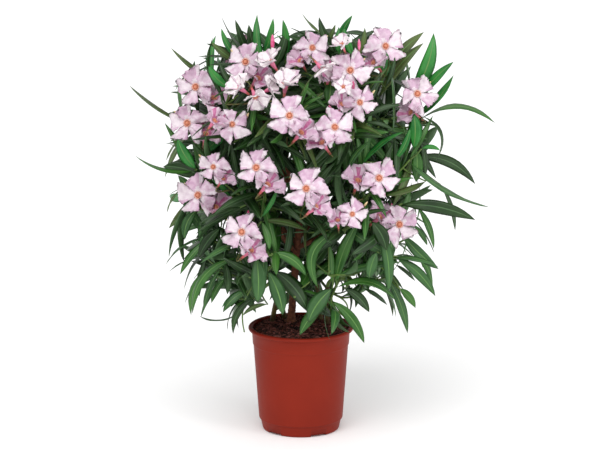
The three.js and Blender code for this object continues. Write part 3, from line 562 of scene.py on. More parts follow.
class Heap:
    """Many closed shapes on their way into one mesh."""

    def __init__(self):
        self.points = []
        self.triangles = []
        self.paints = []
        self.count = 0

    def add(self, points, triangles, paints):
        self.points.append(points)
        self.triangles.append(triangles + self.count)
        self.paints.append(paints)
        self.count += len(points)

    def loft(self, start, rings, end, rows):
        """rings is an array of rings by sides by 3; rows is rings + 1 by sides, or one number."""
        count, sides = rings.shape[:2]
        points = np.concatenate([start[None], rings.reshape(-1, 3), end[None]])
        rows = np.broadcast_to(np.asarray(rows), (count + 1, sides))
        self.add(points, loft_triangles(count, sides), loft_paints(rows))

    def tube(self, line, radii, sides, paint=0):
        """A round tube along a line of points, closed by slightly domed ends."""
        tangents = directions(line)
        steepest = np.argmin(np.abs(tangents.mean(axis=0)))
        side = normalised(np.cross(np.eye(3)[steepest], tangents))
        other = np.cross(tangents, side)
        angle = circle(sides)[:, None]
        radii = np.broadcast_to(np.asarray(radii, float), (len(line),))
        spokes = side[:, None] * np.cos(angle) + other[:, None] * np.sin(angle)
        rings = line[:, None] + spokes * radii[:, None, None]
        start = line[0] - tangents[0] * radii[0] * 0.3
        end = line[-1] + tangents[-1] * radii[-1] * 0.3
        self.loft(start, rings, end, paint)

    def turn(self, centre, axis, profile, scale, sides, paints, teeth=None):
        """A shape turned about an axis from pairs of radius and height, with optional teeth.

        The first and the last pair stand for its two end points. It has one paint, or one for
        each band.
        """
        side, other = face_frame(axis)
        angle = circle(sides)
        spokes = np.outer(np.cos(angle), side) + np.outer(np.sin(angle), other)
        rings = []
        for index, (radius, height) in enumerate(profile[1:-1]):
            swell = 1 + (teeth[index] if teeth else 0) * np.cos(angle * sides / 2)
            rings.append(centre + axis * (height * scale) + spokes * (radius * scale * swell)[:, None])
        start, end = (centre + axis * (height * scale) for _, height in (profile[0], profile[-1]))
        self.loft(start, np.array(rings), end, np.reshape(paints, (-1, 1)))

    def make(self, name, materials, slot, replaced=(), smooth=True):
        points = np.concatenate(self.points) * MM
        triangles = np.concatenate(self.triangles)
        mesh = bpy.data.meshes.new(name)
        mesh.vertices.add(len(points))
        mesh.vertices.foreach_set("co", points.astype(np.float32).ravel())
        mesh.loops.add(triangles.size)
        mesh.loops.foreach_set("vertex_index", triangles.astype(np.int32).ravel())
        mesh.polygons.add(len(triangles))
        mesh.polygons.foreach_set("loop_start", np.arange(0, triangles.size, 3, dtype=np.int32))
        mesh.polygons.foreach_set("material_index", np.concatenate(self.paints).astype(np.int32))
        mesh.polygons.foreach_set("use_smooth", np.full(len(triangles), smooth))
        mesh.update(calc_edges=True)
        for material in materials:
            mesh.materials.append(material)
        piece = add_object(name, mesh)
        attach(piece, "root")
        if replaced:
            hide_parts(*replaced)


# Materials


def linear(colour):
    """A screen colour from 0 to 255 as linear light."""
    light = [((c / 255 + 0.055) / 1.055) ** 2.4 if c > 10 else c / 3294 for c in colour]
    return [*light, 1]


def plain_material(name, colour, roughness, specular=0.5):
    material = bpy.data.materials.new(name)
    material.use_nodes = True
    shader = material.node_tree.nodes["Principled BSDF"]
    shader.inputs["Base Color"].default_value = linear(colour)
    shader.inputs["Roughness"].default_value = roughness
    shader.inputs["Specular IOR Level"].default_value = specular
    return material, shader


def add_noise(material, scale, detail):
    """A noise of this many cells a metre, fixed to the object."""
    nodes, links = material.node_tree.nodes, material.node_tree.links
    place = nodes.new("ShaderNodeTexCoord")
    pattern = nodes.new("ShaderNodeTexNoise")
    pattern.inputs["Scale"].default_value = scale
    pattern.inputs["Detail"].default_value = detail
    links.new(place.outputs["Object"], pattern.inputs["Vector"])
    return pattern.outputs["Fac"]


def mottled(name, colour, other, roughness, scale, bump=None, specular=0.5):
    """One colour that changes softly to another over a noise of this many cells a metre.

    The bump is the cells a metre of its own noise, and its depth in millimetres.
    """
    material, shader = plain_material(name, colour, roughness, specular)
    nodes, links = material.node_tree.nodes, material.node_tree.links
    ramp = nodes.new("ShaderNodeValToRGB")
    for element, place, paint in zip(ramp.color_ramp.elements, MOTTLE_EDGES, (colour, other)):
        element.position = place
        element.color = linear(paint)
    links.new(add_noise(material, scale, MOTTLE_DETAIL), ramp.inputs["Fac"])
    links.new(ramp.outputs["Color"], shader.inputs["Base Color"])
    if bump:
        relief = nodes.new("ShaderNodeBump")
        relief.inputs["Distance"].default_value = bump[1] * MM
        links.new(add_noise(material, bump[0], BUMP_DETAIL), relief.inputs["Height"])
        links.new(relief.outputs["Normal"], shader.inputs["Normal"])
    return material


def leaf_material(name, colour, other, roughness=0.4):
    return mottled(name, colour, other, roughness, 26, bump=(420, 0.25), specular=0.4)


def petal_material(name, colour, other):
    material = mottled(name, colour, other, 0.55, 130, bump=(260, 0.5), specular=0.3)
    material.node_tree.nodes["Principled BSDF"].inputs["Sheen Weight"].default_value = 0.2
    return material


# The space round the plant, in small cells


class Room:
    """Each cell holds 0 where it is free, or what takes it."""

    VIEW, LEAF, KEPT = 1, 2, 3

    def __init__(self, low, high, cell):
        self.low = np.array(low, float)
        self.cell = cell
        self.shape = np.ceil((np.array(high) - self.low) / cell).astype(int)
        self.cells = np.zeros(self.shape, np.uint8)

    def indices(self, points):
        places = ((points.reshape(-1, 3) - self.low) / self.cell).astype(int)
        places = np.clip(places, 0, self.shape - 1)
        return places[:, 0], places[:, 1], places[:, 2]

    def mark(self, points, value):
        self.cells[self.indices(points)] = value

    def is_free(self, points):
        return not self.cells[self.indices(points)].any()

    def mark_if_free(self, points):
        places = self.indices(points)
        self.cells[places] = np.maximum(self.cells[places], Room.VIEW)

    def block(self, centre, reach):
        """The cells of a cube round a point, as slices, and their middles."""
        first = np.clip(((centre - reach - self.low) / self.cell).astype(int), 0, self.shape)
        last = np.clip(((centre + reach - self.low) / self.cell).astype(int) + 1, 0, self.shape)
        axes = [self.low[k] + (np.arange(first[k], last[k]) + 0.5) * self.cell for k in range(3)]
        slices = tuple(slice(first[k], last[k]) for k in range(3))
        return slices, np.stack(np.meshgrid(*axes, indexing="ij"), -1)

    def keep_ball(self, centre, radius):
        slices, middles = self.block(centre, radius)
        self.cells[slices][np.linalg.norm(middles - centre, axis=-1) < radius] = Room.KEPT


room = Room(ROOM_LOW, ROOM_HIGH, ROOM_CELL)


def crown_reach(z):
    """How far from the axis a leaf may reach at each height."""
    low = np.maximum(0, (LOW_TAPER[0] - z) / LOW_TAPER[1])
    high = np.maximum(0, (z - HIGH_TAPER[0]) / HIGH_TAPER[1])
    return CROWN_REACH * (1 - LOW_TAPER[2] * low**2) * (1 - HIGH_TAPER[2] * high**2)


def outside_crown(points):
    x, y, z = points[..., 0], points[..., 1], points[..., 2]
    radius = np.hypot(x, y)
    in_pot = (z < POT_HEIGHT + POT_CLEARANCE) & (radius < RIM_RADIUS + POT_CLEARANCE)
    open_x = (x > OPENING_SIDES[0]) & (x < OPENING_SIDES[1])
    opening = open_x & (y < OPENING_BACK) & (z < OPENING_TOP - y * OPENING_RISE)
    too_high = z > CROWN_TOP - CROWN_TOP_FALL * np.maximum(y, 0)
    return (radius > crown_reach(z)) | in_pot | opening | too_high | (z < CROWN_FOOT)


def seen(right, height, nearness):
    """The place that the viewer sees this far right of the axis and this far up the picture."""
    z = (height + nearness * math.sin(VIEW_ELEVATION)) / math.cos(VIEW_ELEVATION)
    return vec(right, -nearness, z)


def mark_limb(line, radii):
    """Keeps leaves off a limb."""
    for t in np.linspace(0, 1, 60):
        room.keep_ball(curve_point(line, t), mix(radii[0], radii[1], t) + LIMB_CLEARANCE)


# Curves


def curve_point(points, t):
    """A centripetal curve through the points, the same one that the frame's limbs follow."""
    count = len(points) - 1
    place = t * count
    index = min(int(place), count - 1)
    weight = place - index
    p1, p2 = points[index], points[index + 1]
    p0 = points[index - 1] if index > 0 else 2 * points[0] - points[1]
    p3 = points[index + 2] if index + 2 <= count else 2 * points[-1] - points[-2]
    d0, d1, d2 = (max(distance(a, b) ** 0.5, 1e-4) for a, b in ((p0, p1), (p1, p2), (p2, p3)))
    slope1 = ((p1 - p0) / d0 - (p2 - p0) / (d0 + d1) + (p2 - p1) / d1) * d1
    slope2 = ((p2 - p1) / d1 - (p3 - p1) / (d1 + d2) + (p3 - p2) / d2) * d1
    w2, w3 = weight**2, weight**3
    first = p1 * (2 * w3 - 3 * w2 + 1) + slope1 * (w3 - 2 * w2 + weight)
    return first + p2 * (3 * w2 - 2 * w3) + slope2 * (w3 - w2)


def curve_line(points, count):
    return np.array([curve_point(points, t) for t in np.linspace(0, 1, count)])


def bezier_at(points, t):
    """Places at shares t along a curve with one control point."""
    t = t[:, None]
    return points[0] * (1 - t) ** 2 + points[1] * 2 * t * (1 - t) + points[2] * t**2


def bezier(points, count):
    return bezier_at(points, np.linspace(0, 1, count))


def along(line, back):
    """The place and direction at a distance back from the end of a line of points."""
    for index in range(len(line) - 1, 0, -1):
        step = line[index] - line[index - 1]
        length = float(np.linalg.norm(step))
        if back <= length or index == 1:
            return line[index] - step * (back / length), step / length
        back -= length


# Foliage masses and the shoots that fill them, by the source's rule


class Mass:
    def __init__(self, level, band, index, sector):
        name, drop, starts = band
        self.name = f"foliage_{name}_{sector[0]}"
        self.limb = f"{'stem' if level == 0 else 'bough'}_{name}_{sector[0]}"
        self.level = level
        self.drop = drop
        self.foot = starts[index] if level == 0 else None
        self.start = starts[index] if level > 0 else None
        first, last = math.radians(sector[1]), math.radians(sector[2])
        self.planes = [
            (vec(-math.sin(first), math.cos(first), 0), 0.0),
            (vec(math.sin(last), -math.cos(last), 0), 0.0),
        ]
        if level > 0:
            self.planes.append(band_plane(sector, sector[3][level - 1], 1))
        if level < 2:
            self.planes.append(band_plane(sector, sector[3][level], -1))

    def room_at(self, point):
        return min(float(normal @ point) + constant for normal, constant in self.planes)

    def kept_inside(self, point, needed):
        moved = point.copy()
        for normal, constant in self.planes:
            short = needed - (float(normal @ moved) + constant)
            if short > 0:
                moved = moved + normal * short
        return moved


def band_plane(sector, plane, sign):
    height, slope = plane[0], math.radians(plane[1])
    middle = math.radians((sector[1] + sector[2]) / 2)
    fall = math.sin(slope)
    normal = vec(fall * math.cos(middle), fall * math.sin(middle), math.cos(slope))
    return normal * sign, -height * normal[2] * sign


masses = [
    Mass(level, band, index, sector)
    for level, band in enumerate(BANDS)
    for index, sector in enumerate(SECTORS)
]


def mass_at(point):
    return next(mass for mass in masses if mass.room_at(point) >= 0)


def shoot_axis(tip):
    rise = mix(*SHOOT_RISE, clamp((tip[2] - SHOOT_LOW) / (SHOOT_HIGH - SHOOT_LOW))) * math.pi / 2
    return around((outward_of(tip), UP), rise)


class Blossom:
    """An open flower: hand is -1 or 1 for the way in which its petals are cut."""

    def __init__(self, centre, face, radius, spin, hand, cup, young=False):
        self.young = young
        self.centre = centre
        self.face = face
        self.radius = radius
        self.spin = spin
        self.hand = hand
        self.cup = cup
        self.side, self.other = face_frame(face)
        self.scale = radius / BLOSSOM_RADIUS
        self.tube_end = centre - face * TUBE_LENGTH * self.scale


def blossom_pair(centre, radius, key, ahead, companion):
    """One blossom open towards the outside, and one beside or below it seen from the side.

    Both turn together about the way ahead, as far as the second one's place asks for.
    """
    face = unit(ahead * 0.9 + outward_of(centre) * 0.25 + UP * 0.28)
    right = unit(cross(UP, ahead))
    lean = 1 if companion[0] > 0 else -1
    turn = math.atan2(companion[1], companion[0]) - math.atan2(PAIR_STEP[1], lean * PAIR_STEP[0])
    turn = (turn + math.pi) % (2 * math.pi) - math.pi

    def turned(pair):
        aside, rise = lean * pair[0], pair[1]
        sideways = aside * math.cos(turn) - rise * math.sin(turn)
        return right * sideways + UP * (aside * math.sin(turn) + rise * math.cos(turn))

    scale = radius / BLOSSOM_RADIUS
    spin = turn + lean * PETAL_SPIN + between((-0.07, 0.07), 61, key)
    main = Blossom(centre, face, radius, spin, -lean, 0.0)
    step = turned(PAIR_STEP) - ahead * PAIR_STEP[2]
    aim = unit(turned(PAIR_FACE) + ahead * PAIR_FACE[2])
    second = Blossom(centre + step * scale, aim, radius * PAIR_SCALE, lean * 0.25, -lean, 0.6)
    return [main, second]


class Shoot:
    def __init__(self, tip, mass, key, blossoms=(), far=None):
        self.tip = tip
        self.axis = shoot_axis(tip)
        self.mass = mass
        self.key = key
        self.blossoms = list(blossoms)
        self.far = far
        self.twig = None


def front_shoot(spray, index):
    centre = vec(*spray[0])
    mass = mass_at(centre)
    front = mass.kept_inside(centre, BLOSSOM_INSET)
    if distance(front, centre) > BLOSSOM_INSET:
        front = centre
    behind = outward_of(front) * -FRONT_INWARD + vec(0, FRONT_BACK, 0)
    tip = mass.kept_inside(front + behind + UP * -FRONT_DROP, SHOOT_ROOM)
    return Shoot(tip, mass, index, blossom_pair(centre, spray[1], index, AHEAD, spray[2]))


def back_pair(tip, centre, index, key):
    """The blossoms of a spiral shoot: a pair on some of the back ones, none on the others."""
    flowering = tip[1] > 10 and tip[2] > FLOWERING_FOOT and centre[2] < FLOWERING_TOP
    if not flowering or chance(32, index) >= FLOWERING_SHARE:
        return ()
    side = -1 if chance(21, key) < 0.5 else 1
    companion = (side * BACK_COMPANION[0], BACK_COMPANION[1])
    return blossom_pair(centre, BLOSSOM_RADIUS, key, outward_of(tip), companion)


def spiral_shoots(shoots):
    for i in range(SHOOT_COUNT):
        z = mix(SHOOT_LOW, SHOOT_HIGH, (i + 0.5) / SHOOT_COUNT)
        bulge = 1 - abs((z - CROWN_CENTRE) / CROWN_HALF_HEIGHT) ** CROWN_POWER
        radius = CROWN_RADIUS * bulge ** (1 / CROWN_POWER) * between(SPIRAL_SPREAD, 31, i)
        place = polar(radius, i * GOLDEN_ANGLE + SPIRAL_PHASE, z)
        mass = mass_at(place)
        tip = mass.kept_inside(place, SHOOT_ROOM)
        if any(distance(shoot.tip, tip) < SHOOT_SPACING for shoot in shoots):
            continue
        onward, rise, outward = SPIRAL_STEP
        centre = tip + shoot_axis(tip) * onward + UP * rise + outward_of(tip) * outward
        key = SPIRAL_KEY + i
        shoots.append(Shoot(tip, mass, key, back_pair(tip, centre, i, key)))


def all_shoots():
    shoots = []
    for index, far in enumerate(FAR_LEAVES):
        tip = vec(*far[0])
        shoots.append(Shoot(tip, mass_at(tip), FAR_KEY + index, far=far))
    for index, spray in enumerate(FRONT_BLOSSOMS):
        shoots.append(front_shoot(spray, index))
    spiral_shoots(shoots)
    return shoots


shoots = all_shoots()


def trunk_points():
    points = [TRUNK_FOOT]
    for share, height in TRUNK_BENDS:
        place = mix(TRUNK_FOOT, TRUNK_TIP, share)
        points.append(vec(place[0], place[1], height))
    return points + [TRUNK_TIP]


def trunk_place(height):
    points = trunk_points()
    low, high = 0.0, 1.0
    for _ in range(30):
        middle = (low + high) / 2
        if curve_point(points, middle)[2] < height:
            low = middle
        else:
            high = middle
    return curve_point(points, low)


def heart_of(mass):
    return np.mean([shoot.tip for shoot in shoots if shoot.mass is mass], axis=0) * HEART_PULL


def limb_points(mass):
    """The three points of a bough or basal stem, as in the frame."""
    heart = heart_of(mass)
    tip = vec(heart[0] * BOUGH_SHARE, heart[1] * BOUGH_SHARE, heart[2] - mass.drop)
    tip = mass.kept_inside(tip, BOUGH_RADII[0] + 4)
    start = vec(*mass.foot, SOIL_TOP + LIMB_GAP) if mass.foot else trunk_place(mass.start)
    middle = (start + tip) / 2
    sideways = (tip - start) * vec(1, 1, 0) * (-0.04 if mass.foot else 0.1)
    return [start, middle + sideways - UP * (0 if mass.foot else 6), tip]


# Leaves


def twisted(across, normal, turn):
    """Both directions turned about a leaf's spine, by an angle for each place."""
    cos, sin = np.cos(turn)[:, None], np.sin(turn)[:, None]
    return across * cos + normal * sin, normal * cos - across * sin


class Leaf:
    """A blade that springs from its root along its axis and bends down evenly to its tip."""

    def __init__(self, root, direction, face_up, length, bend):
        self.root = root
        self.axis = unit(direction)
        self.across = unit(cross(face_up, self.axis))
        self.normal = cross(self.axis, self.across)
        self.length = length
        self.bend = bend
        self.width = length * LEAF_WIDTH
        self.twist = 0.0
        self.tone = None

    def spine(self, t):
        """Places, width directions and face normals at shares t of the length."""
        angle = self.bend * (2 * t - 0.5)
        ahead = (np.sin(angle) + math.sin(self.bend / 2)) / (2 * self.bend)
        rise = (np.cos(angle) - math.cos(self.bend / 2)) / (2 * self.bend)
        places = self.root + self.length * (np.outer(ahead, self.axis) + np.outer(rise, self.normal))
        normal = np.outer(np.sin(angle), self.axis) + np.outer(np.cos(angle), self.normal)
        return places, *twisted(self.across, normal, self.twist * t)


class SeenLeaf:
    """A blade from its root to its tip, bowed as the viewer sees it and turned to look as wide."""

    def __init__(self, root, tip, bow, looks, tone):
        chord = tip - root
        self.root = root
        self.length = float(np.linalg.norm(chord))
        self.tone = tone
        self.twist = 0.0
        self.width = max(looks, min(24, self.length * 0.17))
        leftward = unit(cross(TO_VIEWER, chord))
        self.control = (root + tip) / 2 + leftward * 2 * bow + TO_VIEWER * self.length * 0.12
        self.tip = tip
        turn = math.acos(min(1, looks / self.width))
        upward = leftward * (-1 if leftward[2] < 0 else 1)
        self.face = TO_VIEWER * math.cos(turn) + upward * math.sin(turn)

    def spine(self, t):
        places = bezier_at((self.root, self.control, self.tip), t)
        back = np.outer(1 - t, self.control - self.root)
        tangents = normalised(back + np.outer(t, self.tip - self.control))
        across = normalised(np.cross(self.face, tangents))
        return places, *twisted(across, np.cross(tangents, across), self.twist * t)


TEST_SHARES = np.linspace(0.16, 1, 15)
MARK_SHARES = np.linspace(0.26, 0.97, 26)


def width_profile(t):
    """The share of the full width along a leaf: a short stalk, a long taper and a sharp tip."""
    blade = 3.62 * np.maximum(t - 0.035, 0) ** 0.86 * (1 - t) ** 0.94
    return np.maximum(blade, 0.1 * (1 - t) ** 0.3)


def leaf_grid(leaf, shares, sides):
    places, across, _ = leaf.spine(shares)
    half = leaf.width / 2 * width_profile(shares)
    return places[:, None] + across[:, None] * (half[:, None] * np.array(sides))[..., None]


def leaf_fits(leaf):
    return room.is_free(leaf_grid(leaf, TEST_SHARES, (-1, -0.5, 0, 0.5, 1)))


def take_room(leaf):
    room.mark(leaf_grid(leaf, MARK_SHARES, (-0.9, -0.6, -0.3, 0, 0.3, 0.6, 0.9)), Room.LEAF)


ATTEMPTS = [
    (swing, closer, shrink)
    for shrink in (1, 0.84)
    for closer in (1, 0.68, 0.4)
    for swing in (0, 0.35, -0.35, 0.75, -0.75)
]


def between_blossoms(place):
    return place[1] < DENSE_FRONT and DENSE_HEIGHTS[0] < place[2] < DENSE_HEIGHTS[1]


def whorl_leaf(key, place, axis, whorl, index, turn):
    low = clamp((HANG_TOP - place[2]) / HANG_DEPTH)
    spread = math.radians(WHORL_SPREAD[whorl] + 14 * low)
    across = across_pair(axis)
    length = between(LEAF_LENGTH, 41, key, whorl, index) * (0.92 if whorl == 0 else 1)
    bend = between(BEND_SPREAD, 42, key, whorl, index) + 0.3 * low
    for swing, closer, shrink in ATTEMPTS:
        angle = turn + index * 2 * math.pi / LEAVES_IN_WHORL + swing
        tilt = spread * closer
        sideways = around(across, angle)
        direction = around((axis, sideways), tilt) - UP * (0.1 * whorl + 0.42 * low)
        leaf = Leaf(place + sideways * 0.3, direction, axis + UP * 0.35, length * shrink, bend)
        narrow = 0.78 if between_blossoms(leaf.root) else 1
        leaf.width *= narrow * between(WIDTH_SPREAD, 44, key, whorl, index)
        if leaf_fits(leaf):
            return leaf
    return None


def clear_view(leaf):
    """Later leaves stay out of the space between this one and the viewer."""
    points = leaf_grid(leaf, MARK_SHARES, (-1, -0.5, 0, 0.5, 1)).reshape(-1, 3)
    for ahead in range(*LEAF_VIEW_AHEAD, 3):
        room.mark_if_free(points + TO_VIEWER * ahead)


def seen_leaves():
    """The furthest leaves and those of the front, each with the mass that it grows on."""
    for shoot in shoots:
        if shoot.far:
            yield SeenLeaf(shoot.tip - shoot.axis * 4, vec(*shoot.far[1]), *shoot.far[2:]), shoot.mass
    for root, tip, *looks in SEEN_LEAVES:
        yield SeenLeaf(seen(*root), seen(*tip), *looks), mass_at(seen(*root))


def twig_line(start, shoot):
    """A twig from its mass's stem to the shoot's tip, straighter where it would leave the space."""
    span = distance(start, shoot.tip)
    for share in (0.5, 0.34, 0.18, 0):
        control = shoot.tip - shoot.axis * share * span if share else (start + shoot.tip) / 2
        line = bezier((start, control, shoot.tip), 15)
        if all(shoot.mass.room_at(point) > TWIG_ROOM for point in line[2:]):
            break
    return line


def side_twigs(shoot):
    """Finer twigs that leave the shoot's twig on alternate sides and end inside the crown."""
    reach = distance(shoot.twig[0], shoot.tip)
    lines = []
    for number, share in enumerate(SIDE_TWIG_SHARES if reach >= SHORTEST_FORKED else ()):
        place, axis = along(shoot.twig, reach * share)
        turn = 2 * math.pi * chance(71, shoot.key) + number * 2.4
        sideways = around(across_pair(axis), turn)
        length = between(SIDE_TWIG_LENGTH, 72, shoot.key, number)
        tip = place + unit(axis * 0.6 + sideways * 0.8) * length
        if outside_crown(tip) or room.cells[room.indices(tip)][0]:
            continue
        lines.append(bezier((place, place + axis * length * 0.45, tip), 8))
    return lines


def leaves_on(line, key, whorls):
    """Whorls of three down a twig, each turned against the last."""
    leaves = []
    reach = distance(line[0], line[-1])
    for whorl in range(whorls):
        back = FIRST_WHORL + whorl * WHORL_STEP
        if back > reach * 0.88:
            break
        place, axis = along(line, back)
        turn = 2 * math.pi * chance(43, key) + whorl * math.pi / LEAVES_IN_WHORL
        for index in range(LEAVES_IN_WHORL):
            leaf = whorl_leaf(key, place, axis, whorl, index, turn)
            if leaf:
                take_room(leaf)
                leaves.append(leaf)
    return leaves


# Growing the crown


def nearest_twig_place(mass, point):
    places = np.concatenate([shoot.twig for shoot in shoots if shoot.mass is mass])
    return places[np.argmin(np.linalg.norm(places - point, axis=1))]


def young_blossoms():
    blossoms = []
    for number, (place, radius, lean) in enumerate(YOUNG_BLOSSOMS):
        face = unit(vec(lean[0], -lean[2], lean[1]))
        hand = 1 if chance(62, number) < 0.5 else -1
        spin = between((0, 1), 63, number)
        blossoms.append(Blossom(seen(*place), face, radius, spin, hand, 0.75, young=True))
    return blossoms


class Growth:
    """Everything that grows on one level of masses."""

    def __init__(self):
        self.stems, self.twigs, self.fine_twigs = [], [], []
        self.leaves, self.blossoms = [], []


def keep_view_of(blossom):
    """Leaves stay out of a blossom and out of the space before it."""
    reach = SIDE_VIEW_REACH if blossom.cup else VIEW_REACH
    depth = TUBE_LENGTH * blossom.scale
    middle = blossom.centre + blossom.face * reach / 2
    slices, places = room.block(middle, reach / 2 + BLOSSOM_RADIUS)
    offset = places - blossom.centre
    ahead = offset @ blossom.face
    across = np.linalg.norm(offset - ahead[..., None] * blossom.face, axis=-1)
    limit = (blossom.radius * 0.9 + 2) * (1 + np.minimum(0, ahead) / depth) + 1
    room.cells[slices][(ahead > -depth) & (ahead < reach) & (across < limit)] = Room.KEPT


def keep_sky():
    for right, height, radius in SKY_GAPS:
        for nearness in range(-SKY_REACH, SKY_REACH, ROOM_CELL):
            room.keep_ball(seen(right, height, nearness), radius)


def keep_view_of_trunk():
    for low, high in TRUNK_VIEWS:
        for height in range(low, high, 5):
            for ahead in range(*TRUNK_VIEW_AHEAD, ROOM_CELL):
                room.keep_ball(trunk_place(height) + TO_VIEWER * ahead, TRUNK_VIEW_RADIUS)


def keep_clear():
    """Marks the space that the growing leaves stay out of."""
    room.cells[outside_crown(room.block(vec(0, 0, 450), 1000)[1])] = Room.KEPT
    keep_sky()
    keep_view_of_trunk()
    mark_limb(trunk_points(), (TRUNK_RADII[0] + 2, TRUNK_RADII[1]))
    for mass in masses:
        mark_limb(limb_points(mass), BOUGH_RADII)
    for shoot in shoots:
        for blossom in shoot.blossoms:
            keep_view_of(blossom)
    for blossom in young_blossoms():
        keep_view_of(blossom)


def grow():
    """Twigs first, then the leaves that the photo shows, and then the others in what is left."""
    growth = [Growth(), Growth(), Growth()]
    keep_clear()
    for mass in masses:
        place_twigs(mass, growth[mass.level])
    place_seen_leaves(growth)
    for shoot in shoots:
        for leaf in leaves_on(shoot.twig, shoot.key, FAR_WHORLS if shoot.far else WHORLS):
            growth[shoot.mass.level].leaves.append((leaf, shoot.key, 0))
    for shoot in shoots:
        grow_side_twigs(shoot, growth[shoot.mass.level])
    for blossom in young_blossoms():
        mass = mass_at(blossom.tube_end)
        foot = nearest_twig_place(mass, blossom.tube_end)
        growth[mass.level].blossoms.append((blossom, foot))
    return growth


def grow_side_twigs(shoot, level):
    """The finer twigs with their leaves, and the blossoms of the shoot."""
    for number, line in enumerate(side_twigs(shoot)):
        level.fine_twigs.append(line)
        for leaf in leaves_on(line, SIDE_TWIG_KEY + 2 * shoot.key + number, SIDE_WHORLS):
            level.leaves.append((leaf, shoot.key, 1))
    for blossom, back in zip(shoot.blossoms, BLOSSOM_FEET):
        level.blossoms.append((blossom, along(shoot.twig, back)[0]))


def place_seen_leaves(growth):
    """Each on a twig of its own from the nearest one."""
    for leaf, mass in seen_leaves():
        level = growth[mass.level]
        near = nearest_twig_place(mass, leaf.root)
        if distance(near, leaf.root) > 6:
            bend = (near + leaf.root) / 2 - UP * 4
            level.fine_twigs.append(bezier((near, bend, leaf.root), 8))
        take_room(leaf)
        clear_view(leaf)
        level.leaves.append((leaf, 0, 0))


def place_twigs(mass, level):
    points = limb_points(mass)
    direction = unit(points[2] - curve_point(points, 0.97))
    start = points[2] + direction * LIMB_GAP
    heart = heart_of(mass)
    stem = (start, start + direction * distance(start, heart) * 0.4, heart)
    level.stems.append(bezier(stem, 12))
    mine = [shoot for shoot in shoots if shoot.mass is mass]
    for index, shoot in enumerate(mine):
        share = mix(0.3, 0.97, index / (len(mine) - 1))
        foot = bezier(stem, 101)[round(share * 100)]
        shoot.twig = twig_line(foot, shoot)
        level.twigs.append(shoot.twig)


# Making the leaves' mesh

LEAF_RIB, LEAF_UNDER = 5, 6
RIB_RISE = 0.35
THINNEST_LEAF = 0.7
LEAF_COLUMNS = np.array([1, 0.55, 0.08, -0.08, -0.55, -1, -0.55, -0.08, 0.08, 0.55])
LEAF_SHARES = np.linspace(0, 1, 12)[1:-1]


def leaf_tone(leaf, key, fine):
    """Fresh green at the top, deep as painted shade inside and between blossoms, and grey-green low
    down, one tone a spray.
    """
    if leaf.tone is not None:
        return leaf.tone
    height = leaf.root[2]
    depth = math.hypot(leaf.root[0], leaf.root[1])
    draw = chance(51, key, fine)
    if chance(52, key, int(leaf.root[0]) + 400, int(height)) < 0.15:
        draw = chance(53, key, int(leaf.root[1]) + 400)
    if draw < 0.05:
        return OLIVE
    # Inside the crown and between the blossoms the deep tone is painted shade
    if depth < INNER_RADIUS or between_blossoms(leaf.root):
        return DEEP_AND_SHADED if draw < 0.85 else MID
    if height > TOP_TONES:
        return FRESH if draw < 0.5 else (MID if draw < 0.8 else DEEP_AND_SHADED)
    if height > MIDDLE_TONES:
        return MID if draw < 0.42 else (DEEP_AND_SHADED if draw < 0.86 else FRESH)
    return GREY if draw < 0.42 else (DEEP_AND_SHADED if draw < 0.66 else MID)


def add_leaf(heap, leaf, key, fine):
    thick = max(THINNEST_LEAF, leaf.length / 150)
    seed = int(leaf.root[0] * 7 + leaf.root[1] * 13 + leaf.root[2] * 3) & 0xFFFF
    leaf.twist = between((-0.5, 0.5), 54, seed)
    places, across, normal = leaf.spine(LEAF_SHARES)
    half = (leaf.width / 2 * width_profile(LEAF_SHARES))[:, None]
    u = LEAF_COLUMNS[None, :]
    fold = between((0.05, 0.34), 55, seed)
    curl = between((-0.1, 0.3), 56, seed)
    wave = between((0.0, 0.9), 57, seed) * np.sin(LEAF_SHARES * between((9, 17), 58, seed) + seed)
    lift = fold * np.abs(u) * half - curl * u**2 * half + wave[:, None] * u * np.abs(u) * 0.8
    top = np.array([0, 1, 1, 1, 1, 0, 0, 0, 0, 0])
    under = np.array([0, 0, 0, 0, 0, 0, 1, 1, 1, 1])
    rib = (np.abs(u) < 0.2) * RIB_RISE * (1 - LEAF_SHARES[:, None] * 0.7)
    lift = lift + top * (thick * 0.5 - rib * 0.6) - under * (thick * 0.5 + rib)
    rings = places[:, None] + across[:, None] * (u * half)[..., None] + normal[:, None] * lift[..., None]
    tip = leaf.spine(np.array([1.0]))[0][0]
    tone = leaf_tone(leaf, key, fine)
    # Leaves with the deep tone, which is partly painted shade, take the underside paint on their midrib
    rib_tone = LEAF_UNDER if tone == DEEP_AND_SHADED else LEAF_RIB
    row = np.array([tone, tone, rib_tone, tone, tone] + [LEAF_UNDER] * 5)
    heap.loft(leaf.root, rings, tip, np.tile(row, (len(LEAF_SHARES) + 1, 1)))


# Making the blossoms' meshes

# The streak paint marks young blossoms and is painted shade inside cupped ones
WHITE, PALE, PINK, LILAC, STREAK_AND_SHADE, BACK, BASE = range(7)
CALYX, PINK_BUD, PALE_BUD, STALK = range(2, 6)
THROAT_SWELL = 1.12
THROAT_RADIUS = 4.2
PETAL_THICKNESS = 0.7
PETAL_COLUMNS = np.linspace(1, -1, 13)
PETAL_RING = np.concatenate([PETAL_COLUMNS, PETAL_COLUMNS[-2:0:-1]])
PETAL_ROWS = np.linspace(0, 1, 9)
# Main paint of each petal in turn: the first lilac as painted shade, the next pale as painted light, the
# rest pink
PETAL_LIT_AND_SHADED_TONES = (LILAC, PALE, PINK, PINK, PINK)


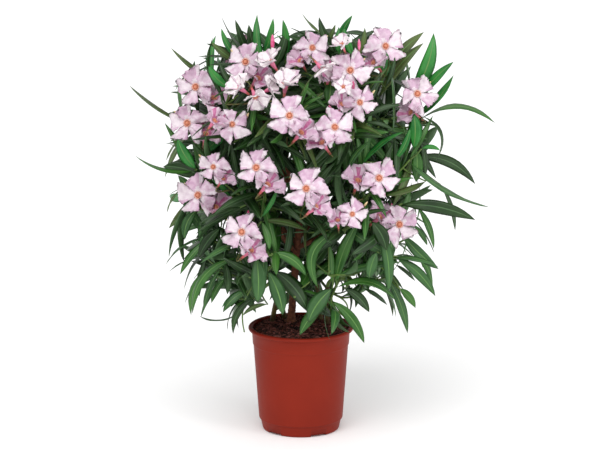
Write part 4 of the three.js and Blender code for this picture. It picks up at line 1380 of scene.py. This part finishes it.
def petal_paint(blossom, number, tone, u, share):
    """The paint at u across, from -1 to 1 with the way it is cut, and at a share of its length."""
    if blossom.young:
        if u < -0.7:
            return PINK
        return STREAK_AND_SHADE if abs(u - 0.3) < 0.12 and share < 0.3 else WHITE
    # Inside a cupped blossom the base of each petal and a strip up every other one are painted shade
    if blossom.cup and (share < 0.3 or (number % 2 == 0 and abs(u) < 0.25 and share < 0.8)):
        return STREAK_AND_SHADE
    if share < 0.44 - 0.3 * abs(u - 0.2) or (u > 0.5 and share > 0.5):
        tone = PALE
    elif abs(u) > 0.7 and share > 0.4:
        tone = LILAC
    if blossom.cup:
        return LILAC if tone == PINK else PINK
    return tone


def petal_paints(blossom, number):
    """Paints of the face, row by row from the throat, and after them those of the back."""
    bands = len(PETAL_ROWS) + 1
    faces = len(PETAL_COLUMNS) - 1
    rows = np.full((bands, len(PETAL_RING)), WHITE if blossom.young else BACK)
    # One petal gets lilac as painted shade and the one beside it pale as painted light
    tone = PETAL_LIT_AND_SHADED_TONES[number if blossom.hand < 0 else (PETALS - number) % PETALS]
    middles = blossom.hand * (PETAL_COLUMNS[:-1] + PETAL_COLUMNS[1:]) / 2
    for row in range(bands):
        share = row / len(PETAL_ROWS)
        rows[row, :faces] = [petal_paint(blossom, number, tone, u, share) for u in middles]
        if blossom.cup and share < 0.35:
            rows[row, faces + 1 :] = PINK if blossom.young else BASE
    return rows


def petal_arch(blossom, size, end_slope):
    """How far out and how high each row of a petal lies, from slopes that change along it."""
    slopes = mix(mix(0.9, 1.3, blossom.cup), end_slope, np.minimum(1, PETAL_ROWS * 2.6) ** 0.7)
    steps = np.diff(PETAL_ROWS, prepend=0) * (size - THROAT_RADIUS * blossom.scale)
    reach = THROAT_RADIUS * blossom.scale + np.cumsum(np.cos(slopes) * steps)
    return reach[:, None], np.cumsum(np.sin(slopes) * steps)[:, None]


def petal_waves(blossom, number, seed, u, v):
    """Ruffles, the lap over the next petal, and the thickness, over the face and the back."""
    scale = blossom.scale
    phase = 6 * chance(84, seed, number)
    ruffle = between((1.8, 3.8), 83, seed, number)
    wave = ruffle * v**1.4 * np.sin(u * 4.2 + phase) + 1.3 * v * np.sin(v * 8 + phase)
    wave = wave + 2.6 * v * np.abs(u) ** 3 * np.sin(v * 11 + phase + 2 * np.sign(u))
    lap = blossom.hand * between((3.0, 6.0), 87, seed, number) * u * np.sin(v * 2.2)
    edge = 1.1 * v * np.abs(u) ** 2 * np.sin(v * 23 + phase * 3) * np.sign(u)
    thick = np.zeros(len(PETAL_RING))
    thick[1 : len(PETAL_COLUMNS) - 1] = PETAL_THICKNESS / 2
    thick[len(PETAL_COLUMNS) :] = -PETAL_THICKNESS / 2
    return (wave - lap) * scale + thick, edge * scale


def add_petal(heap, blossom, number, seed):
    """One wedge-shaped petal with a ragged, obliquely cut end whose one corner is drawn out."""
    turn = blossom.spin + math.pi / 2 + number * 2 * math.pi / PETALS
    radial = around((blossom.side, blossom.other), turn)
    sideways = around((blossom.other, -blossom.side), turn)
    v = PETAL_ROWS[:, None]
    u = PETAL_RING[None, :]
    size = blossom.radius * between((0.9, 1.05), 81, seed, number)
    end_slope = mix(between((-0.35, 0.4), 82, seed, number), 0.85, blossom.cup)
    reach, height = petal_arch(blossom, size, end_slope)
    breadth = between((0.39, 0.5), 86, seed, number) * (1.2 if blossom.young else 1)
    half = size * (0.11 + breadth * v**0.9 * (1 - 0.2 * v**6))
    cut = size * (0.17 * blossom.hand * u - 0.02 - 0.07 * u**4)
    ragged = [between((-3.4, 2.2), 85, seed, number, k) for k in range(len(PETAL_COLUMNS))]
    ragged = np.array(ragged + ragged[-2:0:-1]) * blossom.scale
    reach = reach + (cut + ragged) * v**3
    waves, edge = petal_waves(blossom, number, seed, u, v)
    rings = blossom.centre + radial * reach[..., None] + sideways * (u * half + edge)[..., None]
    rings = rings + blossom.face * (height + waves)[..., None]
    start = blossom.centre + radial * THROAT_RADIUS * blossom.scale * 0.5
    heap.loft(start, rings, rings[-1].mean(axis=0), petal_paints(blossom, number))


# The side buds: how far up, aside and behind the open blossom's middle they stand, and their size
PALE_BUD_STEP = (22, 28, 7)
PALE_BUD_SIZE = 0.62
PINK_BUD_STEP = (40, -9, 20)
PINK_BUD_SIZE = 0.95
PINK_BUD_SHARE = 0.4
NECK_LENGTH = 40

# Turned parts of a blossom, as pairs of radius and height from the middle of its face
THROAT_PROFILE = ((0, -3), (4, -2), (4.8, 2.2), (6, 3.8), (4.6, 3.6), (3.6, 1), (2.2, -6), (0, -7))
THROAT_TEETH = (0, 0, 0.12, 0.08, 0, 0)
ANTHER_PROFILE = ((0, -3), (2.6, -4), (3.7, 0.6), (3.4, 3.2), (1.8, 5.2), (0, 6))
TUBE_PROFILE = (
    (0, -TUBE_LENGTH), (2.1, -TUBE_LENGTH), (2.4, -27), (3.3, -18),
    (5, -9), (6, -2), (5.4, 0.5), (0, -2),
)
CALYX_PROFILE = (
    (0, -TUBE_LENGTH - 2.5), (1.3, -TUBE_LENGTH - 2), (2.7, -TUBE_LENGTH),
    (2.9, -29), (2.6, -26), (0, -27),
)
CALYX_TEETH = (0, 0, 0.05, 0.3)
BUD_PROFILE = ((0, 0), (1, 0), (2, 3), (2.9, 11), (2.5, 17), (1.2, 22), (0, 24))
BUD_TEETH = (0, 0.05, 0.12, 0.16, 0.1)
BUD_CALYX_PROFILE = ((0, -3), (1.2, -2), (2.2, 1), (1.9, 5), (0, 4))


def add_stalk(heap, foot, end, direction):
    span = distance(foot, end)
    line = bezier((foot, end - direction * span * 0.5, end), 8)
    heap.tube(line, np.linspace(*STALK_RADII, len(line)), 6, STALK)


def add_bud(heap, foot, tip, size, paint):
    """A slender furled bud on a stalk, with its calyx."""
    axis = unit(tip - foot)
    base = tip - axis * BUD_PROFILE[-1][1] * size
    heap.turn(base, axis, BUD_PROFILE, size, 10, paint, BUD_TEETH)
    heap.turn(base, axis, BUD_CALYX_PROFILE, 1, 8, CALYX, (0, 0, 0.2))
    add_stalk(heap, foot, base - axis * 2, axis)


def add_blossom(petals, throats, tubes, blossom, foot, seed):
    """Petals, the toothed crown and the anthers of the throat, tube, calyx and stalk."""
    centre, face, scale = blossom.centre, blossom.face, blossom.scale
    for number in range(PETALS):
        add_petal(petals, blossom, number, seed)
    throat_scale = scale * THROAT_SWELL
    throats.turn(centre, face, THROAT_PROFILE, throat_scale, 20, (0, 0, 0, 0, 1, 1, 1), THROAT_TEETH)
    throats.turn(centre, face, ANTHER_PROFILE, throat_scale, 10, 2)
    tubes.turn(centre, face, TUBE_PROFILE, scale, 12, (1, 1, 1, 0, 0, 0, 0))
    tubes.turn(centre, face, CALYX_PROFILE, scale, 10, CALYX, CALYX_TEETH)
    add_stalk(tubes, foot, blossom.tube_end - face * 2, face)


def add_spray_buds(tubes, shoot):
    """A pale bud that stands behind each open blossom, and with some of them a pink one."""
    if not shoot.blossoms:
        return
    main = shoot.blossoms[0]
    aside = unit(cross(main.face, UP)) * -main.hand
    foot = along(shoot.twig, 2)[0]

    def tip_at(step):
        return main.centre + UP * step[0] + aside * step[1] - main.face * step[2]

    add_bud(tubes, foot, tip_at(PALE_BUD_STEP), PALE_BUD_SIZE, PALE_BUD)
    if chance(91, shoot.key) < PINK_BUD_SHARE:
        add_bud(tubes, foot, tip_at(PINK_BUD_STEP), PINK_BUD_SIZE, PINK_BUD)


# Pot, soil and limbs


def inner_radius(z):
    if z > WALL_TOP:
        share = (z - WALL_TOP) / (BAND_TOP - WALL_TOP)
        return mix(WALL_TOP_RADIUS, BAND_TOP_RADIUS, share) - POT_WALL
    share = max(0, (z - FOOT_HEIGHT) / (WALL_TOP - FOOT_HEIGHT))
    return mix(WALL_FOOT_RADIUS, WALL_TOP_RADIUS, share) - POT_WALL - 2 * (1 - share)


def eased(start, end, count):
    """Places between two points of a profile, both included."""
    return [(mix(start[0], end[0], t), mix(start[1], end[1], t)) for t in np.linspace(0, 1, count)]


def pot_profile():
    bead_half = (RIM_RADIUS - BAND_TOP_RADIUS) / 2 + 1
    bead_middle = POT_HEIGHT - BEAD_HEIGHT / 2
    bead = [
        (RIM_RADIUS - bead_half + bead_half * math.cos(angle),
         bead_middle + BEAD_HEIGHT / 2 * math.sin(angle))
        for angle in np.linspace(-0.5, 1.2, 18) * math.pi
    ]
    inner_foot = FOOT_RADIUS - NOTCH_DEPTH
    return [
        (inner_foot - 0.2, 0), (inner_foot, 0), (FOOT_RADIUS - 3, 0), (FOOT_RADIUS - 1, 0.8),
        (FOOT_RADIUS, 3), (FOOT_RADIUS + 0.2, NOTCH_HEIGHT), (FOOT_TOP_RADIUS - 0.1, FOOT_HEIGHT - 1),
        (FOOT_TOP_RADIUS + 0.4, FOOT_HEIGHT), (WALL_FOOT_RADIUS - 0.5, FOOT_HEIGHT + 0.6),
        (WALL_FOOT_RADIUS, FOOT_HEIGHT + 1.8),
        *eased((WALL_FOOT_RADIUS + 0.1, FOOT_HEIGHT + 3), (WALL_TOP_RADIUS, WALL_TOP - 0.6), 9),
        (WALL_TOP_RADIUS + 0.2, WALL_TOP), (BAND_RADIUS - 0.2, WALL_TOP + 1.2),
        (BAND_RADIUS, WALL_TOP + 2), (BAND_RADIUS + 0.1, WALL_TOP + 3),
        (BAND_TOP_RADIUS, BAND_TOP - 1.5), *bead,
        (inner_radius(BAND_TOP), BAND_TOP - 1), (inner_radius(WALL_TOP), WALL_TOP),
        (inner_radius(FOOT_HEIGHT), FOOT_HEIGHT), (inner_radius(FOOT_HEIGHT) - 2, POT_FLOOR),
    ]


def notch_edges():
    edges = []
    for number in range(FOOT_NOTCHES):
        middle = NOTCH_PHASE - math.pi / 2 + number * 2 * math.pi / FOOT_NOTCHES
        for side in (-0.5, 0.5):
            edge = middle + side * NOTCH_ANGLE
            edges.extend([edge - 0.004, edge + 0.004])
    return edges


def in_notch(angle):
    step = 2 * math.pi / FOOT_NOTCHES
    offset = (angle - NOTCH_PHASE + math.pi / 2 + step / 2) % step - step / 2
    return abs(offset) < NOTCH_ANGLE / 2


def build_pot():
    angles = np.sort(np.concatenate([circle(POT_SEGMENTS), np.mod(notch_edges(), 2 * math.pi)]))
    profile = np.array(pot_profile())
    rings = np.array([ring(radius, angles, z) for radius, z in profile])
    cut = np.array([in_notch(angle) for angle in angles])
    low = (profile[:, 1] < NOTCH_HEIGHT) & (profile[:, 0] >= FOOT_RADIUS - NOTCH_DEPTH)
    low[6:] = False
    rings[np.ix_(low, cut, [2])] = NOTCH_HEIGHT
    heap = Heap()
    heap.loft(vec(0, 0, 0), rings, vec(0, 0, POT_FLOOR), 0)
    return heap


def soil_height(x, y, rise):
    grain = noise.noise(Vector((x * 0.16, y * 0.16, 3.1)))
    clod = noise.noise(Vector((x * 0.05, y * 0.05, 7.7)))
    return mix(SOIL_EDGE, SOIL_TOP - 1, rise) + 1.5 * grain + 1.8 * clod


def build_soil():
    """A low crumbly mound that fills the pot nearly to its rim."""
    angle = circle(SOIL_SEGMENTS)
    outer = (
        (inner_radius(FOOT_HEIGHT) - 2, POT_FLOOR + SOIL_CLEARANCE),
        (inner_radius(FOOT_HEIGHT), FOOT_HEIGHT),
        (inner_radius(WALL_TOP), WALL_TOP),
        (inner_radius(SOIL_EDGE), SOIL_EDGE - 1),
    )
    rings = [ring(radius - SOIL_CLEARANCE, angle, height) for radius, height in outer]
    edge = inner_radius(SOIL_EDGE) - SOIL_CLEARANCE
    for radius in np.linspace(edge - 0.6, 2, 40):
        rise = min(1, (edge - radius) / (edge - PLATEAU_RADIUS))
        points = ring(radius, angle, 0.0)
        points[:, 2] = [soil_height(x, y, rise) for x, y, _ in points]
        rings.append(points)
    heap = Heap()
    heap.loft(vec(0, 0, POT_FLOOR + SOIL_CLEARANCE), np.array(rings), vec(0, 0, SOIL_TOP - 1), 0)
    return heap


# The two triangles of each side of a block
CHIP_TRIANGLES = np.array([
    (0, 2, 1), (0, 3, 2), (4, 5, 6), (4, 6, 7), (0, 1, 5), (0, 5, 4),
    (1, 2, 6), (1, 6, 5), (2, 3, 7), (2, 7, 6), (3, 0, 4), (3, 4, 7),
])
CHIP_CORNERS = np.array([
    (-1, -1, -1), (1, -1, -1), (1, 1, -1), (-1, 1, -1), (-1, -1, 1), (1, -1, 1), (1, 1, 1), (-1, 1, 1),
]) * 0.5


def add_chip(heap, place, size, turns, seed, paint):
    """A splinter of bark: a block with uneven corners."""
    jitter = np.array([[between((0.55, 1.15), 15, seed, i, k) for k in range(3)] for i in range(8)])
    corners = CHIP_CORNERS * jitter * size
    for axis, turn in enumerate(turns):
        a, b = [(1, 2), (2, 0), (0, 1)][axis]
        cos, sin = math.cos(turn), math.sin(turn)
        first = corners[:, a] * cos - corners[:, b] * sin
        corners[:, b] = corners[:, a] * sin + corners[:, b] * cos
        corners[:, a] = first
    heap.add(corners + place, CHIP_TRIANGLES, np.full(len(CHIP_TRIANGLES), paint))


def add_chips(heap, edge):
    for i in range(CHIP_COUNT):
        radius = edge * math.sqrt((i + 0.5) / CHIP_COUNT)
        rise = min(1, (edge - radius) / (edge - PLATEAU_RADIUS))
        z = mix(SOIL_EDGE, SOIL_TOP, rise) + between((-0.4, 1.4), 18, i)
        place = polar(radius, i * GOLDEN_ANGLE + between((-0.4, 0.4), 16, i), z)
        size = between((0.4, 1), 17, i) ** 2 * CHIP_SIZE
        turns = (between((-0.5, 0.5), 19, i), between((-0.45, 0.45), 20, i), between((0, 6.3), 22, i))
        add_chip(heap, place, size, turns, i, int(chance(23, i) * CHIP_DRAW))


def add_fibres(heap, edge):
    for i in range(FIBRE_COUNT):
        place = polar((edge - 6) * math.sqrt(chance(24, i)), chance(25, i) * 2 * math.pi, SOIL_TOP + 0.8)
        ahead = polar(1, chance(26, i) * 2 * math.pi, between((-0.15, 0.25), 27, i))
        ahead *= between((5, 14), 28, i)
        middle = place + ahead * 0.5 + UP * between((-1, 3), 29, i)
        line = bezier((place, middle, place + ahead), 5)
        heap.tube(line, FIBRE_RADIUS, 4, int(chance(30, i) * CHIP_DRAW))


def build_chips():
    heap = Heap()
    edge = inner_radius(SOIL_EDGE) - 3
    add_chips(heap, edge)
    add_fibres(heap, edge)
    return heap


def bark_tube(heap, line, radius_at, sides, seed, scar_step, relief):
    """A limb with ring-like leaf scars, low lumps and fine upright furrows."""
    tangents = directions(line)
    side = normalised(np.cross(vec(0.31, 0.95, 0.02), tangents))
    other = np.cross(tangents, side)
    lengths = np.concatenate([[0], np.cumsum(np.linalg.norm(np.diff(line, axis=0), axis=1))])
    rings = np.zeros((len(line), sides, 3))
    for i, place in enumerate(line):
        share = i / (len(line) - 1)
        phase = (lengths[i] / scar_step + 0.25 * math.sin(lengths[i] * 0.11 + seed)) % 1
        scar = math.exp(-(((phase - 0.5) / 0.1) ** 2)) - 0.6 * math.exp(-(((phase - 0.68) / 0.07) ** 2))
        base = radius_at(share)
        for k, turn in enumerate(circle(sides)):
            spoke = around((side[i], other[i]), turn)
            spot = (place + spoke * base) * 0.09
            lump = noise.noise(Vector(spot) + Vector((seed, 0, 0)))
            grain_spot = Vector((math.cos(turn) * 2.6, math.sin(turn) * 2.6 + seed, lengths[i] * 0.06))
            furrow = noise.noise(grain_spot * 1.9)
            rings[i, k] = place + spoke * (base + relief * (0.55 * lump + 0.45 * furrow + 0.8 * scar))
    heap.loft(line[0] - tangents[0] * 0.01, rings, line[-1] + tangents[-1] * 0.6, 0)


def build_trunk():
    heap = Heap()
    line = curve_line(trunk_points(), 260)

    def radius_at(share):
        above = share * (TRUNK_TIP[2] - SOIL_TOP)
        return mix(*TRUNK_RADII, share) + TRUNK_FLARE * math.exp(-above / FLARE_HEIGHT)

    bark_tube(heap, line, radius_at, 36, 3, 13, 0.75)
    return heap


def build_limbs(basal):
    """The basal stems, or else the boughs."""
    heap = Heap()
    for index, mass in enumerate(masses):
        if (mass.level == 0) == basal:
            line = curve_line(limb_points(mass), 110)
            if mass.level > 0:
                line = line[4:]
            bark_tube(heap, line, lambda share: mix(*BOUGH_RADII, share), 20, index, 15, 0.4)
    return heap


# The stage, the camera and the light


def build_stage():
    mesh = bpy.data.meshes.new("floor")
    corners = [(-FLOOR_REACH, -FLOOR_REACH, 0), (FLOOR_REACH, -FLOOR_REACH, 0)]
    corners += [(FLOOR_REACH, FLOOR_REACH, 0), (-FLOOR_REACH, FLOOR_REACH, 0)]
    mesh.from_pydata(corners, [], [(0, 1, 2, 3)])
    mesh.materials.append(plain_material("floor_paint", FLOOR_COLOUR, 0.9, 0.1)[0])
    floor = add_object("floor", mesh)


def build_camera():
    data = bpy.data.cameras.new("camera")
    data.sensor_width = SENSOR_WIDTH
    data.lens = SENSOR_WIDTH * VIEW_DISTANCE / VIEW_WIDTH
    data.clip_end = 100
    camera = add_object("camera", data)
    back = Vector(TO_VIEWER)
    camera.location = (Vector(VIEW_TARGET) + back * VIEW_DISTANCE) * MM
    camera.rotation_euler = (-back).to_track_quat("-Z", "Y").to_euler()
    bpy.context.scene.camera = camera


def add_lamp(name, kind, energy, aim):
    data = bpy.data.lights.new(name, kind)
    data.energy = energy
    lamp = add_object(name, data)
    lamp.rotation_euler = Vector(aim).to_track_quat("-Z", "Y").to_euler()
    return lamp


def build_light():
    world = bpy.data.worlds.new("studio")
    world.use_nodes = True
    background = world.node_tree.nodes["Background"]
    background.inputs["Color"].default_value = (1, 1, 1, 1)
    background.inputs["Strength"].default_value = WORLD_LIGHT
    bpy.context.scene.world = world
    add_lamp("sun", "SUN", SUN_LIGHT, SUN_AIM).data.angle = SUN_SOFTNESS
    side = add_lamp("side", "AREA", SIDE_LIGHT, Vector(SIDE_LIGHT_AIM) - Vector(SIDE_LIGHT_PLACE))
    side.location = SIDE_LIGHT_PLACE
    side.data.size = SIDE_LIGHT_SIZE
    bpy.context.scene.view_settings.view_transform = "Standard"


def build_leaves(growth):
    paints = [leaf_material(*paint) for paint in LEAF_PAINTS]
    for level, band in enumerate(BANDS):
        leaves = Heap()
        for leaf, key, fine in growth[level].leaves:
            add_leaf(leaves, leaf, key, fine)
        replaced = [mass.name for mass in masses if mass.level == level]
        leaves.make(f"leaves_{band[0]}", paints, "leaf", replaced)


def build_twigs(growth):
    twigs = Heap()
    for level in growth:
        for stem in level.stems:
            twigs.tube(stem, np.linspace(BOUGH_RADII[1] - 0.3, STEM_TIP_RADIUS, len(stem)), 10)
        for line in level.twigs:
            twigs.tube(line, np.linspace(*TWIG_RADII, len(line)), 8)
        for line in level.fine_twigs:
            twigs.tube(line, np.linspace(*FINE_TWIG_RADII, len(line)), 6)
    twigs.make("twigs", [mottled("twig_green", (92, 120, 48), (70, 96, 40), 0.55, 40)], "green_stem")


def build_blossoms(growth):
    paints = [petal_material(*paint) for paint in PETAL_PAINTS]
    throats, tubes = Heap(), Heap()
    seed = 0
    for level, band in enumerate(BANDS):
        petals = Heap()
        for blossom, foot in growth[level].blossoms:
            seed += 1
            add_blossom(petals, throats, tubes, blossom, foot, seed)
        if petals.count:
            petals.make(f"petals_{band[0]}", paints, "petal")
    for shoot in shoots:
        add_spray_buds(tubes, shoot)
    for place, size in SEEN_BUDS:
        tip = seen(*place)
        neck = tip - UP * NECK_LENGTH * size
        add_stalk(tubes, nearest_twig_place(mass_at(neck), neck), neck, UP)
        add_bud(tubes, neck, tip, size, PINK_BUD)
    throats.make("blossom_throats", [mottled(*paint, 0.7, 300) for paint in THROAT_PAINTS], "throat")
    tubes.make("blossom_tubes", [mottled(*paint) for paint in TUBE_PAINTS], "petal")


def dress_pot():
    plastic = mottled("pot_plastic", (130, 37, 22), (122, 34, 21), 0.5, 9, (900, 0.12), 0.1)
    build_pot().make("pot_shell", [plastic], "pot", ["pot"])
    compost = mottled("soil_dark", (44, 28, 24), (70, 44, 36), 0.95, 220, (600, 1.5), 0.2)
    build_soil().make("soil_mound", [compost], "soil", ["soil"])
    chip_paints = [mottled(*paint, 0.9, 200, specular=0.2) for paint in CHIP_PAINTS]
    build_chips().make("soil_chips", chip_paints, "soil", smooth=False)


def dress_limbs():
    bark = mottled("bark", (86, 48, 32), (122, 74, 50), 0.8, 120, (500, 0.8), 0.3)
    build_trunk().make("trunk_bark", [bark], "bark", ["trunk"])
    boughs = [mass.limb for mass in masses if mass.level > 0]
    build_limbs(False).make("bough_bark", [bark], "bark", boughs)
    skin = mottled("shoot_skin", (92, 82, 44), (70, 56, 34), 0.6, 60, (300, 0.4), 0.3)
    stems = [mass.limb for mass in masses if mass.level == 0]
    build_limbs(True).make("stem_skin", [skin], "green_stem", stems)


build_stage()
build_camera()
build_light()
dress_pot()
dress_limbs()
grown = grow()
build_leaves(grown)
build_twigs(grown)
build_blossoms(grown)
